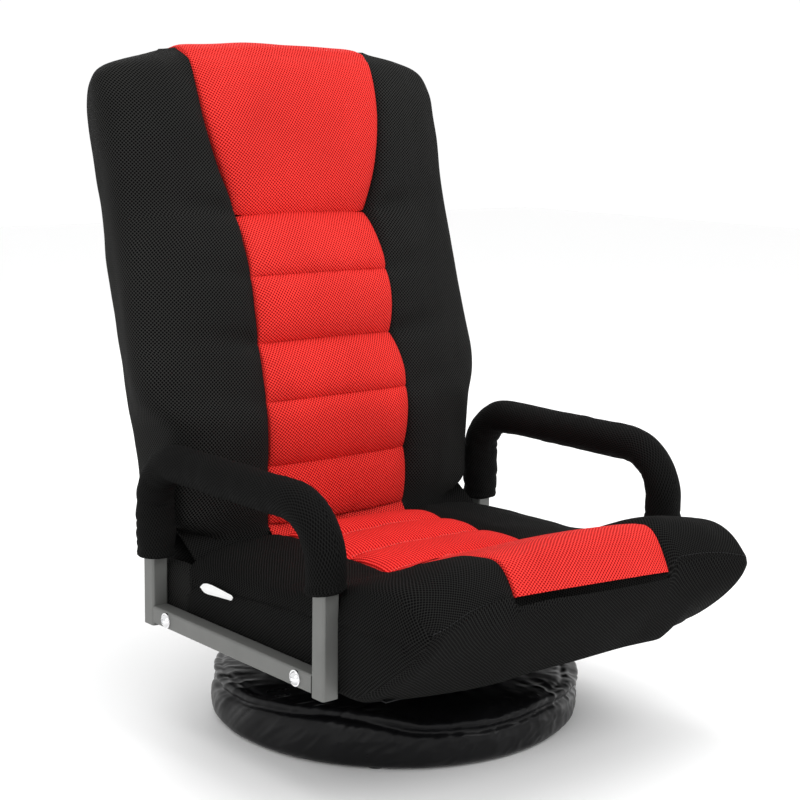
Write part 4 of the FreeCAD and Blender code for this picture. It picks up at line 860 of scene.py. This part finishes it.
def sleeves():
    """The padded sleeves, creased at the rear post and inside the bends, with a hem at each end."""
    line = arm_line()
    ahead = unit(np.gradient(line, axis=0))
    out = np.stack([ahead[:, 1], -ahead[:, 0]], axis=1)
    middle = np.array([(ARM_REAR + ARM_FRONT) / 2, 240.0])
    out *= np.sign(((line - middle) * out).sum(axis=1) + 1e-6)[:, None]
    t = travelled(line)[:, None]
    total = t[-1, 0]
    hem = np.minimum(t, total - t)
    angle = np.linspace(0, 2 * np.pi, 56, endpoint=False)[None, :]
    rear = fading(t, 130)
    inner = np.clip(-np.cos(angle), 0, 1)
    bends = bell(t - 104, 34) + bell(t - (total - 66), 34)
    for side, word, seed in ((-1, "right", 71), (1, "left", 81)):
        round_it = angle * 18
        radius = SLEEVE_RADIUS + 0.6 * lumps(round_it, t, 40, seed) + 0.5 * lumps(round_it, t, 14, seed + 1)
        creased = np.abs(lumps(7 * angle, t, 11, seed + 2))
        radius = radius - (2.4 * rear + 2.2 * bends * inner) * (1 - creased) ** 3
        radius = radius + 2.4 * rear * bell(t - 40, 45)
        # A line of sewing draws each hem in, and its rim closes on the tube
        radius = radius - 0.9 * bell(hem - 11, 2.2) + 0.6 * bell(hem - 5, 5)
        radius = radius * (1 - 0.45 * fading(hem, 2.4))
        wide = radius * np.sin(angle)
        tall = radius * np.cos(angle)
        y = line[:, 0][:, None] + out[:, 0][:, None] * tall
        z = line[:, 1][:, None] + out[:, 1][:, None] * tall
        end_wave = fading(total - t, 26) * 2.5 * np.cos(angle + 0.6)
        points = together(side * (ARM_X + wide), y, z + end_wave)
        piece = skin("arm_pad_" + word, points, SLEEVE, True)
        dress(piece, "seat", ("arm_sleeve_" + word, "arm_grip_" + word))


# Base cover

def base_cover():
    """The glossy cover over the base: a drum with sagging folds, gathered at the hub."""
    distance = travelled(BASE_COVER)
    at = np.concatenate([np.linspace(0, 75, 46), np.linspace(77, distance[-1], 34)])
    base = eased(np.column_stack([distance, BASE_COVER]), at, 2.5)
    slope = unit(np.gradient(base, axis=0))
    normal = np.stack([slope[:, 1], -slope[:, 0]], axis=1)
    turn = np.linspace(0, 2 * np.pi, 720, endpoint=False)[None, :]
    along = at[:, None]
    wall = bell(along - 42, 38)
    u = np.cos(turn) * 13 + 20
    v = np.sin(turn) * 13 + 20 + along / 15
    # Two folds sag round the wall, the upper one broken in places, with crumples all over it
    sag = lumps(u, v, 4.2, 91) + 0.45 * lumps(u, v + 9, 2.1, 92)
    fold = 46 + 7 * np.sin(2 * turn + 0.9) + 4 * np.sin(5 * turn + 2.1) + 3.0 * sag
    crease = bell(along - fold, 4.0) - 0.9 * bell(along - fold - 9, 6.5)
    second = 68 + 7 * np.sin(3 * turn + 2.4) + 4 * np.sin(7 * turn)
    crease = crease + 0.8 * bell(along - second, 4) * np.clip(0.5 + lumps(u + 7, v, 5, 94), 0, 1)
    crumple = np.abs(lumps(u, v * 1.2, 1.25, 95)) + 0.6 * np.abs(lumps(u + v, v - u, 0.8, 96))
    push = wall * (3.6 * sag - 4.6 * crease - 2.2 * (crumple - 0.5))
    push = push * np.clip(along / 14, 0.12, 1)
    # The top is drawn into pleats towards the hub
    gather = ramp(along, 84, 154)
    push = push + gather * (1.3 * np.sin(38 * turn + 2.0 * sag) + 0.8 * np.sin(17 * turn + 3 * sag))
    radius = base[:, 0][:, None] + normal[:, 0][:, None] * push
    z = np.maximum(base[:, 1][:, None] + normal[:, 1][:, None] * push * 0.8, 1.2)
    points = together(radius * np.cos(turn), radius * np.sin(turn), z)
    piece = skin("base_cover", points, VINYL, True)
    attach(piece, "base")
    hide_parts("base_skirt")


# Small parts

def paint_solids():
    """Each solid that stays shown gets the finish of its slot."""
    slots = {part["node"]: part["material_slot"] for part in frame["record"]["subparts"]}
    for name, solid in frame["nodes"].items():
        solid.data.materials.clear()
        solid.data.materials.append(SLOT_MATERIALS[slots[name]])


def side_tag():
    """The white tag sewn into the near side: blunt in front, its rear end cut on a slant."""
    y = np.linspace(TAG_LOW[0][0], TAG_LOW[0][-1], 42)[:, None]
    share = np.linspace(0, 1, 9)[None, :]
    low = np.interp(y, *TAG_LOW)
    high = np.interp(y, *TAG_HIGH)
    x = TAG_X - 1.0 * np.sin(np.pi * share) + 0.3 * np.sin(y / 11)
    piece = skin("sewn_tag", seat_place(x, low + (high - low) * share, y), SLOT_MATERIALS["white_tag"])
    dress(piece, "seat", ("side_tag",))


# Scene

def stage():
    """A pale floor and a white room, lit by four round lamps."""
    bpy.ops.mesh.primitive_plane_add(size=14, location=(0, 0, -0.0004))
    floor = bpy.context.active_object
    floor.name = "floor"
    floor.data.materials.append(material("floor_pale", (0.96, 0.96, 0.96), 0.6, specular=0.1))
    world = bpy.data.worlds.new("studio")
    bpy.context.scene.world = world
    world.use_nodes = True
    background = world.node_tree.nodes["Background"]
    background.inputs["Color"].default_value = (1, 1, 1, 1)
    background.inputs["Strength"].default_value = 1.02
    lamps = (
        ("key", (1.2, -2.0, 2.6), 1.6, 30.0), ("fill", (-2.4, -1.4, 1.5), 1.8, 10.0),
        ("rim", (0.6, 2.2, 2.2), 1.4, 14.0), ("top", (-0.2, -0.1, 3.0), 2.0, 22.0))
    target = Vector((0, 0, 0.3))
    for name, place, size, power in lamps:
        data = bpy.data.lights.new(name, "AREA")
        data.shape = "DISK"
        data.size = size
        data.energy = power
        lamp = bpy.data.objects.new(name, data)
        bpy.context.collection.objects.link(lamp)
        lamp.location = place
        lamp.rotation_euler = (target - Vector(place)).to_track_quat("-Z", "Y").to_euler()
    bpy.context.scene.view_settings.view_transform = "Standard"


def camera():
    """The photograph's view: a long lens from the front right corner, a little above the seat."""
    azimuth = math.radians(-40.064)
    elevation = math.radians(9.913)
    roll = math.radians(0.863)
    place = Vector((-1.2213, -1.4570, 0.6917))
    back = Vector((math.sin(azimuth) * math.cos(elevation), -math.cos(azimuth) * math.cos(elevation),
                   math.sin(elevation)))
    right = Vector((math.cos(azimuth), math.sin(azimuth), 0))
    up = back.cross(right)
    turned_right = right * math.cos(roll) + up * math.sin(roll)
    turned_up = up * math.cos(roll) - right * math.sin(roll)
    data = bpy.data.cameras.new("camera")
    data.lens = 76.5
    data.sensor_width = 36
    data.clip_end = 50
    eye = bpy.data.objects.new("camera", data)
    bpy.context.collection.objects.link(eye)
    matrix = Matrix((turned_right, turned_up, back)).transposed().to_4x4()
    matrix.translation = place
    eye.matrix_world = matrix
    bpy.context.scene.camera = eye


camera()
stage()
paint_solids()
back_cushion()
back_panels()
seat_cushion()
seat_panels()
hinge_flaps()
hinge_hoods()
hinge_cloth("crease_red", 71, 145, 124, (-101, 101), RED, 101, -3)
# The black crease strips take the darker black mesh: painted shade.
hinge_cloth("crease_right", 68, 150, 101, (-212, -99), SHADED_SEAT_BLACK, 105, -5)
hinge_cloth("crease_left", 68, 150, 101, (99, 212), SHADED_SEAT_BLACK, 107, -5)
hinge_cloth("elbow_black", 47, -92, -14, (-184, 184), BLACK, 103)
sleeves()
base_cover()
side_tag()
